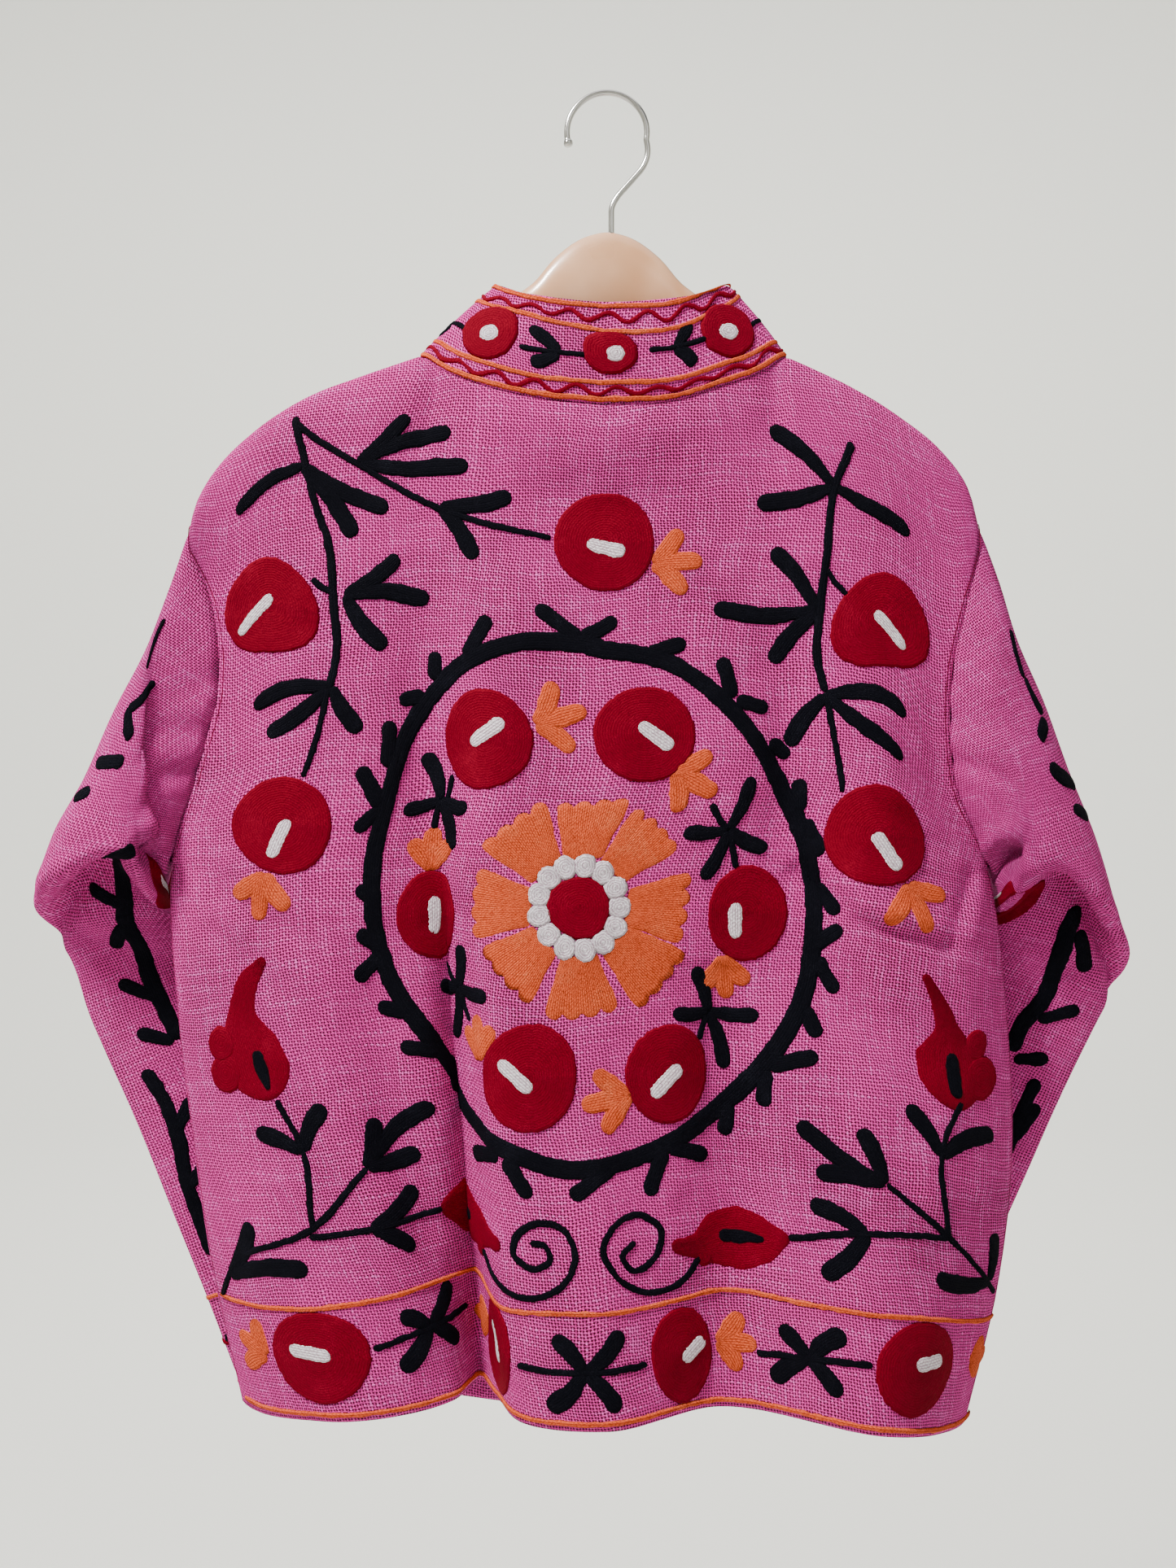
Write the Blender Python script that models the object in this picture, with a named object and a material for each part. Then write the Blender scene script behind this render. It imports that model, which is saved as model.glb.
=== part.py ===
# Short embroidered jacket hung on a plastic hanger with a steel hook.
# The hook's underside, where it rests on a peg, is the origin. X runs to the
# right as seen from the back of the jacket, Y points to the wall, Z is up.
# Sizes in the tables are millimetres; meshes are made in metres.
import math
import bpy
import bmesh
from mathutils import Vector

MM = 0.001

# Driving sizes
cloth_thick = 2.0        # slub cotton with its stitching
seam_gap = 0.3           # between two panels at a seam
vent_spread = 3.2        # the two edges of a side vent at the hem
wire_dia = 3.5           # hanger hook wire
hook_radius = 23.6       # to the middle of the wire
hook_centre = (1.4, -21.85)
front_edge_left_x = -4.0
front_edge_right_x = 1.5

# Shoulder seams along the ridge over the hanger, x and z, y is 0
shoulder_left = [(-243, -256), (-239, -241), (-227, -220), (-208, -201),
                 (-174, -179), (-141, -166), (-109, -155)]
shoulder_right = [(107, -155), (143, -172), (171, -189), (195, -208),
                  (210, -227), (219, -255)]
# Neck seam, x, y, z
neck_back = [(-109, 0, -155), (-105, -5.6, -157.4), (-98, -10, -163), (-88, -14, -169), (-70, -18, -176),
             (-44, -21, -183), (-2, -23, -188), (41, -21, -185), (68, -18, -176), (86, -14, -169),
             (96, -10, -163), (103, -5.6, -157.4), (107, 0, -155)]
neck_front_left = [(-109, 0, -155), (-105.5, 5.6, -158), (-101, 10, -166), (-94, 14, -177), (-79, 18, -194),
                   (-56, 22, -210), (-26, 24, -220), (front_edge_left_x, 24, -223)]
neck_front_right = [(107, 0, -155), (103.5, 5.6, -158), (99, 10, -166), (92, 14, -177), (77, 18, -194),
                    (54, 22, -210), (23, 24, -220), (front_edge_right_x, 24, -223)]

# Where the columns of the back start on its top edge, as x: left edge, left
# crest, fold mouth, fold bottom, fold lip, fold shoulder, centre crest, right
# valley, right crest, right edge
back_top_x = [-243, -174, -109, -98, -86, -66, -4, 84, 150, 219]

# Rows of the back: name, z at left edge, middle and right edge, how far the
# side turns round to the front, then x and y of each column
back_rows = [
    ("yoke", -295, -240, -295, 0,
     [-231, -188, -129, -113, -96, -72, -6, 88, 155, 213],
     [-8, -12, -13, -13, -13, -14, -16, -14, -12, -8]),
    ("mid armhole", -345, -325, -345, 0,
     [-225, -185, -129, -110, -94, -70, -6, 93, 156, 202],
     [-10, -15, -15, -14, -15, -17, -20, -16, -16, -10]),
    ("low armhole", -405, -398, -405, 0,
     [-240, -187, -126, -103, -88, -65, -6, 97, 157, 205],
     [-8, -20, -17, -13, -16, -23, -26, -18, -22, -8]),
    ("underarm", -454, -460, -457, 0.5,
     [-255, -188, -115, -93, -86, -64, -20, 95, 161, 226],
     [2, -24, -17, -8, -14, -27, -30, -19, -26, 2]),
    ("waist", -544, -538, -544, 1,
     [-252, -183, -107, -90, -80, -64, -25, 87, 165, 238],
     [3, -28, -18, -3, -15, -34, -38, -22, -32, 3]),
    ("vent top", -625, -613, -625, 1,
     [-242, -172, -99, -83, -73, -60, -20, 80, 165, 241],
     [3, -34, -20, 0, -17, -40, -46, -26, -40, 3]),
    ("band", -693, -678, -701, 1,
     [-231, -157, -92, -77, -66, -55, -11, 72, 161, 232],
     [2, -42, -24, 0, -22, -48, -58, -30, -50, 2]),
    ("hem", -769, -757, -781, 1,
     [-213, -142, -86, -73, -60, -45, 0, 66, 154, 212],
     [0, -50, -28, 0, -28, -58, -70, -35, -60, 0]),
]
# Rows of the fronts: z at the centre edge, then y at 1/4, 1/2, 4/5 and the
# whole of the way from side edge to centre edge, left front and right front
front_rows = [
    ("yoke", -290, [10, 12, 15, 16], [10, 12, 15, 16]),
    ("mid armhole", -342, [11, 13, 15, 15], [11, 13, 15, 15]),
    ("low armhole", -404, [10, 14, 15, 14], [10, 15, 14, 14]),
    ("underarm", -458, [11, 15, 14, 13], [11, 15, 13, 14]),
    ("waist", -544, [10, 17, 13, 14], [10, 16, 14, 13]),
    ("vent top", -622, [10, 18, 12, 15], [10, 17, 14, 12]),
    ("band", -699, [11, 19, 11, 16], [11, 18, 15, 11]),
    ("hem", -777, [12, 20, 10, 17], [12, 19, 16, 10]),
]
front_places = [0.25, 0.5, 0.8, 1.0]

# Rings of the sleeves below the armhole: name, outer edge x and z, inner edge
# x and z, y of both edges, then how far the camera side and the wall side
# bulge in y and sag along the sleeve
sleeve_left_rings = [
    ("cap", -254, -289, -258.5, -459, 2, 3, -24, -8, 18, -6),
    ("upper", -268, -325, -260.5, -463, 4, 5.5, -31, 0, 21, 0),
    ("mid upper", -287, -361, -261.5, -467, 6, 8.5, -35, -3, 22, 0),
    ("lower upper", -306, -402, -262, -471, 9, 12, -38, -8, 22, 0),
    ("above roll", -326, -436, -262, -475, 13, 15.5, -39, -18, 22, 0),
    ("roll edge", -335, -463, -261, -479, 17, 19.5, -36, -25, 20, 0),
    ("behind roll", -338, -477, -258.5, -483, 20, 23.5, -18, -26, 17, 0),
    ("elbow", -336, -489, -252, -487, 23, 28, -14, -3, 13, 0),
    ("forearm", -323, -513, -222, -497, 27, 35, -10, 0, 10, 0),
    ("forearm 2", -313, -546, -190, -513, 29, 37, -8, 0, 9, 0),
    ("forearm 3", -304, -568, -168, -528, 30, 38, -8, 0, 8, 0),
    ("forearm 4", -284, -613, -147, -563, 30, 39, -8, 0, 8, 0),
    ("forearm 5", -262, -668, -128, -618, 30, 39, -8, 0, 8, 0),
    ("above cuff", -241, -720, -114, -673, 30, 39, -8, 0, 8, 0),
    ("cuff", -220, -775, -99, -730, 30, 39, -9, 0, 8, 0),
]
sleeve_right_rings = [
    ("cap", 231, -287, 229.5, -462, 2, 3, -24, -8, 18, -6),
    ("upper", 241, -320, 231.5, -466, 4, 5.5, -31, 0, 21, 0),
    ("mid upper", 256, -354, 232.5, -470, 6, 8.5, -35, -2, 22, 0),
    ("lower upper", 272, -396, 233, -474, 9, 12, -38, -6, 22, 0),
    ("above roll", 291, -441, 233, -478, 13, 15.5, -39, -13, 22, 0),
    ("roll edge", 303, -482, 232, -482, 17, 19.5, -36, -28, 20, 0),
    ("behind roll", 310, -502, 229.5, -486, 20, 23.5, -18, -33, 17, 0),
    ("elbow", 312, -521, 223, -490, 23, 28, -14, -8, 13, 0),
    ("forearm", 300, -548, 193, -502, 27, 35, -10, 0, 10, 0),
    ("forearm 2", 285, -580, 163, -530, 29, 37, -8, 0, 9, 0),
    ("forearm 3", 272, -609, 139, -553, 30, 38, -8, 0, 8, 0),
    ("forearm 4", 258, -641, 124, -583, 30, 39, -8, 0, 8, 0),
    ("forearm 5", 238, -686, 105, -629, 30, 39, -8, 0, 8, 0),
    ("above cuff", 219, -731, 92, -677, 30, 39, -8, 0, 8, 0),
    ("cuff", 199, -775, 80, -726, 30, 39, -9, 0, 8, 0),
]
# Top edge of the collar band from the left front end round the back, x, y, z
collar_top = [
    ("left end", front_edge_left_x, 24, -167), ("left front", -38, 20, -147), ("left side", -64, 0, -113),
    ("left back", -46, -16, -122), ("centre back", 0, -22, -129), ("right back", 52, -16, -123),
    ("right side", 73, 0, -113), ("right front", 42, 20, -147), ("right end", front_edge_right_x, 24, -167),
]
# Hanger: x, z of its top line, height, half thickness
hanger_rows = [
    (-208, -204.5, 13, 4.6), (-203, -200.2, 16, 5.6), (-190, -191.0, 17, 6.0), (-174, -181.0, 18, 6.0),
    (-158, -174.2, 18, 6.0), (-141, -168.0, 18, 6.0), (-125, -163.2, 18, 6.0), (-109, -159.2, 19, 5.8),
    (-94, -150.0, 20, 5.8), (-78, -137.5, 22, 6.4), (-62, -124.8, 25, 7.0), (-50, -116.5, 28, 7.0),
    (-42, -110.5, 31, 7.0), (-30, -96.5, 40, 7.0), (-16, -85.6, 48, 7.0), (-7, -82.0, 51, 7.0),
    (1, -80.6, 52, 7.0), (9, -81.8, 51, 7.0), (18, -85.2, 48, 7.0), (33, -96.5, 40, 7.0),
    (45, -110.5, 31, 7.0), (53, -116.8, 28, 7.0), (64, -124.8, 25, 7.0), (79, -137.5, 22, 6.4),
    (93, -149.8, 20, 5.8), (107, -159.2, 19, 5.8), (125, -166.6, 18, 6.0), (143, -174.0, 18, 6.0),
    (157, -182.2, 18, 6.0), (171, -191.0, 18, 6.0), (184, -201.0, 17, 6.0), (195, -210.5, 16, 5.6),
    (201, -217.5, 13, 4.6),
]
# Hook stem from the hanger up to the round of the hook, x and z
hook_stem = [(4.0, -80.2), (4.0, -73.0), (4.3, -66.0), (7.0, -60.5), (12.5, -54.0), (18.0, -47.8),
             (23.0, -41.5), (25.2, -35.5), (25.3, -30.0)]


# A smooth curve through points, with slopes weighted by their spacing
def curve_at(knots, points, k):
    n = len(knots)
    if k <= knots[0]:
        i = 0
    elif k >= knots[-1]:
        i = n - 2
    else:
        i = 0
        while knots[i + 1] < k:
            i += 1
    h = knots[i + 1] - knots[i]
    t = (k - knots[i]) / h
    step = (points[i + 1] - points[i]) / h

    def slope(j):
        if j == 0:
            return (points[1] - points[0]) / (knots[1] - knots[0])
        if j == n - 1:
            return (points[-1] - points[-2]) / (knots[-1] - knots[-2])
        h0 = knots[j] - knots[j - 1]
        h1 = knots[j + 1] - knots[j]
        s0 = (points[j] - points[j - 1]) / h0
        s1 = (points[j + 1] - points[j]) / h1
        return (s0 * h1 + s1 * h0) / (h0 + h1)

    m0 = slope(i) * h
    m1 = slope(i + 1) * h
    t2 = t * t
    t3 = t2 * t
    return (points[i] * (2 * t3 - 3 * t2 + 1) + m0 * (t3 - 2 * t2 + t)
            + points[i + 1] * (3 * t2 - 2 * t3) + m1 * (t3 - t2))


def chords(points, power=0.75):
    out = [0.0]
    for a, b in zip(points[:-1], points[1:]):
        out.append(out[-1] + max((b - a).length, 0.05) ** power)
    return out


def read_curve(xs, values, x):
    """A table's value at x, smooth between its rows."""
    return curve_at(list(xs), [Vector((v, 0, 0)) for v in values], x)[0]


def index_curve(marks, points, u):
    """The point at column number u on a smooth curve through the columns."""
    knots = chords(points)
    i = 0
    while i < len(marks) - 2 and marks[i + 1] < u:
        i += 1
    f = (u - marks[i]) / (marks[i + 1] - marks[i])
    return curve_at(knots, points, knots[i] + f * (knots[i + 1] - knots[i]))


def top_of_back(u):
    i = min(int(u), len(back_top_x) - 2)
    x = back_top_x[i] + (u - i) * (back_top_x[i + 1] - back_top_x[i])
    if x <= -109:
        return Vector((x, 0, read_curve([p[0] for p in shoulder_left], [p[1] for p in shoulder_left], x)))
    if x >= 107:
        return Vector((x, 0, read_curve([p[0] for p in shoulder_right], [p[1] for p in shoulder_right], x)))
    points = [Vector(p) for p in neck_back]
    knots = chords(points, 1.0)
    low, high = 0.0, knots[-1]
    for _ in range(40):
        mid = (low + high) / 2
        if curve_at(knots, points, mid).x < x:
            low = mid
        else:
            high = mid
    return curve_at(knots, points, (low + high) / 2)


def over_hanger(top, side):
    """Two rows where the cloth rolls over the hanger, or runs straight at the neck."""
    y = abs(top.y)
    f = min(1.0, y / 9.6)
    first = Vector((top.x, side * (y + 0.58 * max(0.0, 9.6 - y) + 0.5 * f), top.z - 1.9 - 3.1 * f))
    second = Vector((top.x, side * (max(y, 9.6) + 1.2 * f), top.z - 9.5 - 3.0 * f))
    return first, second


def back_row_point(row, u):
    name, z_left, z_mid, z_right, turn, xs, ys = row
    level_power = 5.0 if name == "hem" else 2.5
    points = []
    marks = []
    last = len(xs) - 1
    for i in range(last + 1):
        side = (i - last / 2) / (last / 2)
        z_side = z_left if side < 0 else z_right
        z = z_mid + (z_side - z_mid) * abs(side) ** level_power
        points.append(Vector((xs[i], ys[i], z)))
        marks.append(float(i))
    if turn > 0:
        p = points[0] + Vector((4.5 * turn, -8.0 * turn, 0))
        q = points[-1] + Vector((-4.5 * turn, -8.0 * turn, 0))
        points.insert(1, p)
        marks.insert(1, 0.14)
        points.insert(len(points) - 1, q)
        marks.insert(len(marks) - 1, last - 0.14)
    return index_curve(marks, points, u)


def front_row_point(row, left, back_edge, f):
    z_centre = row[1]
    ys = row[2] if left else row[3]
    centre_x = front_edge_left_x if left else front_edge_right_x
    turn = 5.0 if row[0] in ("underarm", "waist", "vent top", "band", "hem") else 0.0
    way = 1 if left else -1
    points = [back_edge.copy()]
    marks = [0.0]
    if turn:
        points.append(back_edge + Vector((way * 3.5, 4.0, 0)))
        marks.append(0.03)
    for place, y in zip(front_places, ys):
        x = back_edge.x + (centre_x - back_edge.x) * place
        points.append(Vector((x, y, back_edge.z + (z_centre - back_edge.z) * place)))
        marks.append(place)
    return index_curve(marks, points, f)


# Columns and rows of the meshes. A row number runs from the top edge (0)
# over the hanger (1, 2) to the named rows (3 is the yoke, 10 the hem).
def steps(spans):
    out = [0.0]
    for a, b, n in spans:
        for k in range(1, n + 1):
            out.append(a + (b - a) * k / n)
    return out


neck_right_column = 7 + (107 - back_top_x[7]) / (back_top_x[8] - back_top_x[7])
nl = 11.0                # x from the left neck point to the next column
nr = (neck_right_column - 7) / 23.0
back_u = steps([(0, 0.14, 1), (0.14, 1, 4), (1, 2, 5), (2, 2 + 4.0 / nl, 1),
                (2 + 4.0 / nl, 3, 2), (3, 4, 3), (4, 5, 3), (5, 6, 4), (6, 7, 4),
                (7, neck_right_column - 11.0 * nr, 2), (neck_right_column - 11.0 * nr, neck_right_column - 4.0 * nr, 1),
                (neck_right_column - 4.0 * nr, neck_right_column, 1),
                (neck_right_column, 8, 4), (8, 8.86, 5), (8.86, 9, 1)])
armhole_v = steps([(0, 1, 1), (1, 2, 1), (2, 3, 2), (3, 4, 3), (4, 5, 3)]) + [5.35, 5.7, 5.9, 6.0]
below_v = steps([(6, 7, 4), (7, 8, 4), (8, 9, 4), (9, 10, 4)])[1:]
body_v = armhole_v + below_v


def vent_shift(v):
    return 0.0 if v <= 8 else vent_spread / 2 * (0.7 + 0.3 * (v - 8) / 2)


def armhole_round(v):
    """How far the armhole edge stands out above its lowest point, which makes it round there."""
    f = v - 5
    if not 0 < f < 1:
        return 0.0
    return 8.0 * (math.sqrt(1 - f * f) - (1 - f))


def loft(rows, v):
    return index_curve([float(i) for i in range(len(rows))], rows, v)


def back_grid():
    grid = []
    for v in body_v:
        line = []
        for u in back_u:
            top = top_of_back(u)
            first, second = over_hanger(top, -1)
            rows = [top, first, second] + [back_row_point(r, u) for r in back_rows]
            p = loft(rows, v)
            p.y -= armhole_round(v) * max(0.0, 1 - min(u, 9 - u)) ** 2
            if u in (0.0, 9.0):
                p.y -= vent_shift(v)
            line.append(p)
        grid.append(line)
    return grid


def front_grid(left, back):
    grid = []
    neck = neck_front_left if left else neck_front_right
    if left:
        shoulder = [i for i, u in enumerate(back_u) if u <= 2.0]
    else:
        shoulder = [i for i, u in reversed(list(enumerate(back_u))) if u >= neck_right_column - 1e-9]
    tops = [back[0][i].copy() for i in shoulder]
    neck_points = [Vector(p) for p in neck]
    knots = chords(neck_points, 1.0)
    for k in (1, 2):
        tops.append(neck_points[k].copy())
    for k in range(1, 7):
        tops.append(curve_at(knots, neck_points, knots[2] + (knots[-1] - knots[2]) * k / 6))
    edge = 0 if left else len(back_u) - 1
    span = tops[-1].x - tops[0].x
    for j, v in enumerate(body_v):
        line = []
        for k, top in enumerate(tops):
            f = (top.x - tops[0].x) / span
            first, second = over_hanger(top, 1)
            rows = [top, first, second]
            for row, own in zip(back_rows, front_rows):
                side = Vector((row[5][0 if left else -1], row[6][0 if left else -1], row[1 if left else 3]))
                if row[0] in ("yoke", "mid armhole", "low armhole"):
                    side.y = -side.y
                rows.append(front_row_point(own, left, side, f))
            p = loft(rows, v)
            p.y += armhole_round(v) * max(0.0, 1 - 6 * f) ** 2
            if k == 0 and v >= 6:
                p = back[j][edge].copy()
                p.y += 2 * vent_shift(v)
            line.append(p)
        grid.append(line)
    return grid


def ring_point(ring, t, wall):
    name, xo, zo, xi, zi, yo, yi, bulge_c, sag_c, bulge_w, sag_w = ring
    s = (1 - math.cos(t)) / 2
    along = Vector((xi - xo, 0, zi - zo))
    across = Vector((-along.z, 0, along.x)).normalized()
    if across.z > 0:
        across = -across
    bulge, sag = (bulge_w, sag_w) if wall else (bulge_c, sag_c)
    p = Vector((xo, yo, zo)).lerp(Vector((xi, yi, zi)), s)
    reach = max(0.0, math.sin(math.pi * s ** 1.3)) * (1 - s ** 6)
    return p + Vector((0, bulge * abs(math.sin(t)) ** 0.8, 0)) + across * (sag * reach)


sleeve_v = steps([(0, 1, 1), (1, 2, 1), (2, 3, 1), (3, 4, 1), (4, 5, 1), (5, 6, 2), (6, 7, 2), (7, 8, 2),
                  (8, 9, 1), (9, 10, 1), (10, 11, 1), (11, 12, 1), (12, 13, 1), (13, 14, 1), (14, 15, 1)])


def half_ring(ring, wall, fractions):
    """Points of one half of a ring at the given fractions of its length."""
    dense = [ring_point(ring, math.pi * k / 48, wall) for k in range(49)]
    run = chords(dense, 1.0)
    out = []
    i = 0
    for f in fractions:
        target = f * run[-1]
        while i < 47 and run[i + 1] < target:
            i += 1
        g = min(1.0, (target - run[i]) / (run[i + 1] - run[i]))
        out.append(dense[i].lerp(dense[i + 1], g))
    return out


def sleeve_grid(rings, back_edge, front_edge):
    """Rings from the armhole to the cuff, each from the outer edge over the
    camera side to the inner edge and back over the wall side. Its lowest points
    stand a little off the body, where three panels meet."""
    off = Vector((math.copysign(2.4, back_edge[-1].x), 0, 0))
    back_edge = back_edge[:-2] + [p + off for p in back_edge[-2:]]
    front_edge = front_edge[:-2] + [p + off for p in front_edge[-2:]]
    columns = []
    for points, wall in ((back_edge, False), (front_edge, True)):
        length = chords(points, 1.0)
        fractions = [a / length[-1] for a in length]
        halves = [half_ring(r, wall, fractions) for r in rings]
        side = []
        for k, p in enumerate(points):
            rows = [p.copy()] + [h[k] for h in halves]
            side.append([loft(rows, v) for v in sleeve_v])
        columns.append(side)
    camera, wall = columns
    order = camera + list(reversed(wall[1:-1]))
    return [[column[j] for column in order] for j in range(len(sleeve_v))]


def collar_grid(back, left, right):
    first = [i for i, u in enumerate(back_u) if 2.0 <= u <= neck_right_column + 1e-9]
    neck_left = left[0][-9:]
    neck_right = right[0][-9:]
    bottom = list(reversed(neck_left))[:-1] + [back[0][i] for i in first] + neck_right[1:]
    marks = [0, 8, 8 + first.index(min(first, key=lambda i: abs(back[0][i].x))), 8 + len(first) - 1, len(bottom) - 1]
    named = [0, 2, 4, 6, 8]
    tops = [Vector(p[1:]) for p in collar_top]
    top = []
    for k in range(len(bottom)):
        a = 0
        while a < 3 and k > marks[a + 1]:
            a += 1
        run = chords(bottom[marks[a]:marks[a + 1] + 1], 1.0)
        f = run[k - marks[a]] / run[-1]
        top.append(index_curve([float(i) for i in range(9)], tops, named[a] + 2 * f))
    grid = []
    for j in range(5):
        f = j / 4
        line = []
        for b, t in zip(bottom, top):
            p = b.lerp(t, f)
            out = Vector((p.x, p.y * 2.0, 0))
            if out.length > 0:
                p = p + out.normalized() * (1.5 * math.sin(math.pi * f))
            if abs(b.x - front_edge_left_x) < 0.01 or abs(b.x - front_edge_right_x) < 0.01:
                p.x = b.x
            line.append(p)
        grid.append(line)
    return grid


# Cloth panels: a grid of middle points, thickened to both sides. Panels that
# share a seam share its points, and both lean their cut edge the same way.
def grid_normals(grid, closed):
    """Normals at the points, each face weighted by its angle there."""
    rows, cols = len(grid), len(grid[0])
    out = [[Vector((0, 0, 0)) for _ in range(cols)] for _ in range(rows)]
    span = cols if closed else cols - 1
    for j in range(rows - 1):
        for i in range(span):
            k = (i + 1) % cols
            corners = [(j, i), (j, k), (j + 1, k), (j + 1, i)]
            points = [grid[a][b] for a, b in corners]
            for n in range(4):
                before = points[n - 1] - points[n]
                after = points[(n + 1) % 4] - points[n]
                if before.length > 1e-6 and after.length > 1e-6:
                    face = before.cross(after)
                    if face.length > 1e-9:
                        a, b = corners[n]
                        out[a][b] += face.normalized() * before.angle(after)
    return [[n.normalized() for n in line] for line in out]


def key(p):
    return (round(p.x, 3), round(p.y, 3), round(p.z, 3))


def gather_seams(panels):
    seams = {}
    for name, (grid, closed, flip) in panels.items():
        normals = grid_normals(grid, closed)
        sign = -1 if flip else 1
        rows, cols = len(grid), len(grid[0])
        for j in range(rows):
            for i in range(cols):
                edge = j in (0, rows - 1) or (not closed and i in (0, cols - 1))
                if edge:
                    seams.setdefault(key(grid[j][i]), {})[name] = normals[j][i] * sign
    return {k: v for k, v in seams.items() if len(v) > 1}


def thicken(name, grid, closed, flip, seams):
    rows, cols = len(grid), len(grid[0])
    normals = grid_normals(grid, closed)
    sign = -1 if flip else 1
    outer, inner = [], []
    for j in range(rows):
        for i in range(cols):
            p = grid[j][i]
            own = normals[j][i] * sign
            lean = own
            shift = Vector((0, 0, 0))
            shared = seams.get(key(p))
            if shared and name in shared:
                lean = Vector((0, 0, 0))
                for n in shared.values():
                    lean += n
                lean.normalize()
                lean = lean / max(lean.dot(own), 0.62)
                if j in (0, rows - 1):
                    if closed:
                        run = grid[j][(i + 1) % cols] - grid[j][i - 1]
                    else:
                        run = grid[j][min(i + 1, cols - 1)] - grid[j][max(i - 1, 0)]
                    run.normalize()
                    step = grid[1 if j == 0 else -2][i] - p
                    shift += (step - run * step.dot(run)).normalized()
                sides = []
                if not closed and i == 0:
                    sides.append(1)
                if not closed and i == cols - 1:
                    sides.append(cols - 2)
                for s in sides:
                    neighbour = key(grid[min(j + 1, rows - 1)][i]) in seams
                    if 0 < j or neighbour:
                        run = (grid[min(j + 1, rows - 1)][i] - grid[max(j - 1, 0)][i]).normalized()
                        step = grid[j][s] - p
                        shift += (step - run * step.dot(run)).normalized()
                wider = 1.15
                if p.z > -300 and abs(p.y) < 12:
                    wider = 2.9 if abs(p.x) > 215 and abs(p.y) > 1 else 1.9
                shift *= seam_gap / 2 * wider * max(lean.length, 1.0)
            outer.append((p + shift + lean * cloth_thick / 2) * MM)
            inner.append((p + shift - lean * cloth_thick / 2) * MM)
    mesh = bpy.data.meshes.new(name)
    bm = bmesh.new()
    ov = [bm.verts.new(p) for p in outer]
    iv = [bm.verts.new(p) for p in inner]

    def at(side, j, i):
        return side[j * cols + (i % cols)]

    span = cols if closed else cols - 1
    for j in range(rows - 1):
        for i in range(span):
            bm.faces.new((at(ov, j, i), at(ov, j, i + 1), at(ov, j + 1, i + 1), at(ov, j + 1, i)))
            bm.faces.new((at(iv, j, i), at(iv, j + 1, i), at(iv, j + 1, i + 1), at(iv, j, i + 1)))
    for j, turned in ((0, True), (rows - 1, False)):
        for i in range(span):
            a, b, c, d = at(ov, j, i), at(ov, j, i + 1), at(iv, j, i + 1), at(iv, j, i)
            bm.faces.new((a, d, c, b) if turned else (a, b, c, d))
    if not closed:
        for i, turned in ((0, False), (cols - 1, True)):
            for j in range(rows - 1):
                a, b, c, d = at(ov, j, i), at(ov, j + 1, i), at(iv, j + 1, i), at(iv, j, i)
                bm.faces.new((a, d, c, b) if turned else (a, b, c, d))
    bmesh.ops.recalc_face_normals(bm, faces=bm.faces)
    bm.to_mesh(mesh)
    bm.free()
    return mesh


def material(name, colour, rough, metal=0.0):
    mat = bpy.data.materials.new(name)
    mat.use_nodes = True
    shader = mat.node_tree.nodes["Principled BSDF"]
    shader.inputs["Base Color"].default_value = colour
    shader.inputs["Roughness"].default_value = rough
    shader.inputs["Metallic"].default_value = metal
    mat.diffuse_color = colour
    return mat


def place(name, data, mat):
    obj = bpy.data.objects.new(name, data)
    jacket.objects.link(obj)
    obj.parent = hanging_point
    data.materials.append(mat)
    if obj.type == "MESH":
        data.shade_smooth()
        data.set_sharp_from_angle(angle=math.radians(50))
    return obj


def skin(name, rings):
    """A closed solid through rings of points, with flat ends."""
    mesh = bpy.data.meshes.new(name)
    bm = bmesh.new()
    verts = [[bm.verts.new(p * MM) for p in ring] for ring in rings]
    n = len(rings[0])
    for a, b in zip(verts[:-1], verts[1:]):
        for i in range(n):
            bm.faces.new((a[i], a[(i + 1) % n], b[(i + 1) % n], b[i]))
    bm.faces.new(list(reversed(verts[0])))
    bm.faces.new(verts[-1])
    bmesh.ops.recalc_face_normals(bm, faces=bm.faces)
    bm.to_mesh(mesh)
    bm.free()
    return mesh


for old in list(bpy.data.objects):
    bpy.data.objects.remove(old, do_unlink=True)
jacket = bpy.data.collections.new("embroidered_jacket")
bpy.context.scene.collection.children.link(jacket)
hanging_point = bpy.data.objects.new("hanging_point", None)
jacket.objects.link(hanging_point)

pink = material("pink_cotton", (0.58, 0.11, 0.29, 1), 0.9)
peach = material("peach_plastic", (0.60, 0.42, 0.30, 1), 0.25)
steel = material("hook_steel", (0.62, 0.61, 0.59, 1), 0.28, 1.0)

# Body panels, sleeves and collar
back = back_grid()
front_l = front_grid(True, back)
front_r = front_grid(False, back)
arm_rows = len(armhole_v)
sleeve_l = sleeve_grid(sleeve_left_rings, [back[j][0] for j in range(arm_rows)],
                       [front_l[j][0] for j in range(arm_rows)])
sleeve_r = sleeve_grid(sleeve_right_rings, [back[j][-1] for j in range(arm_rows)],
                       [front_r[j][0] for j in range(arm_rows)])
collar = collar_grid(back, front_l, front_r)
panels = {
    "back": (back, False, False),
    "front_left": (front_l, False, True),
    "front_right": (front_r, False, False),
    "sleeve_left": (sleeve_l, True, False),
    "sleeve_right": (sleeve_r, True, True),
    "collar": (collar, False, True),
}
seams = gather_seams(panels)
for name, (grid, closed, flip) in panels.items():
    place(name, thicken(name, grid, closed, flip, seams), pink)

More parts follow.
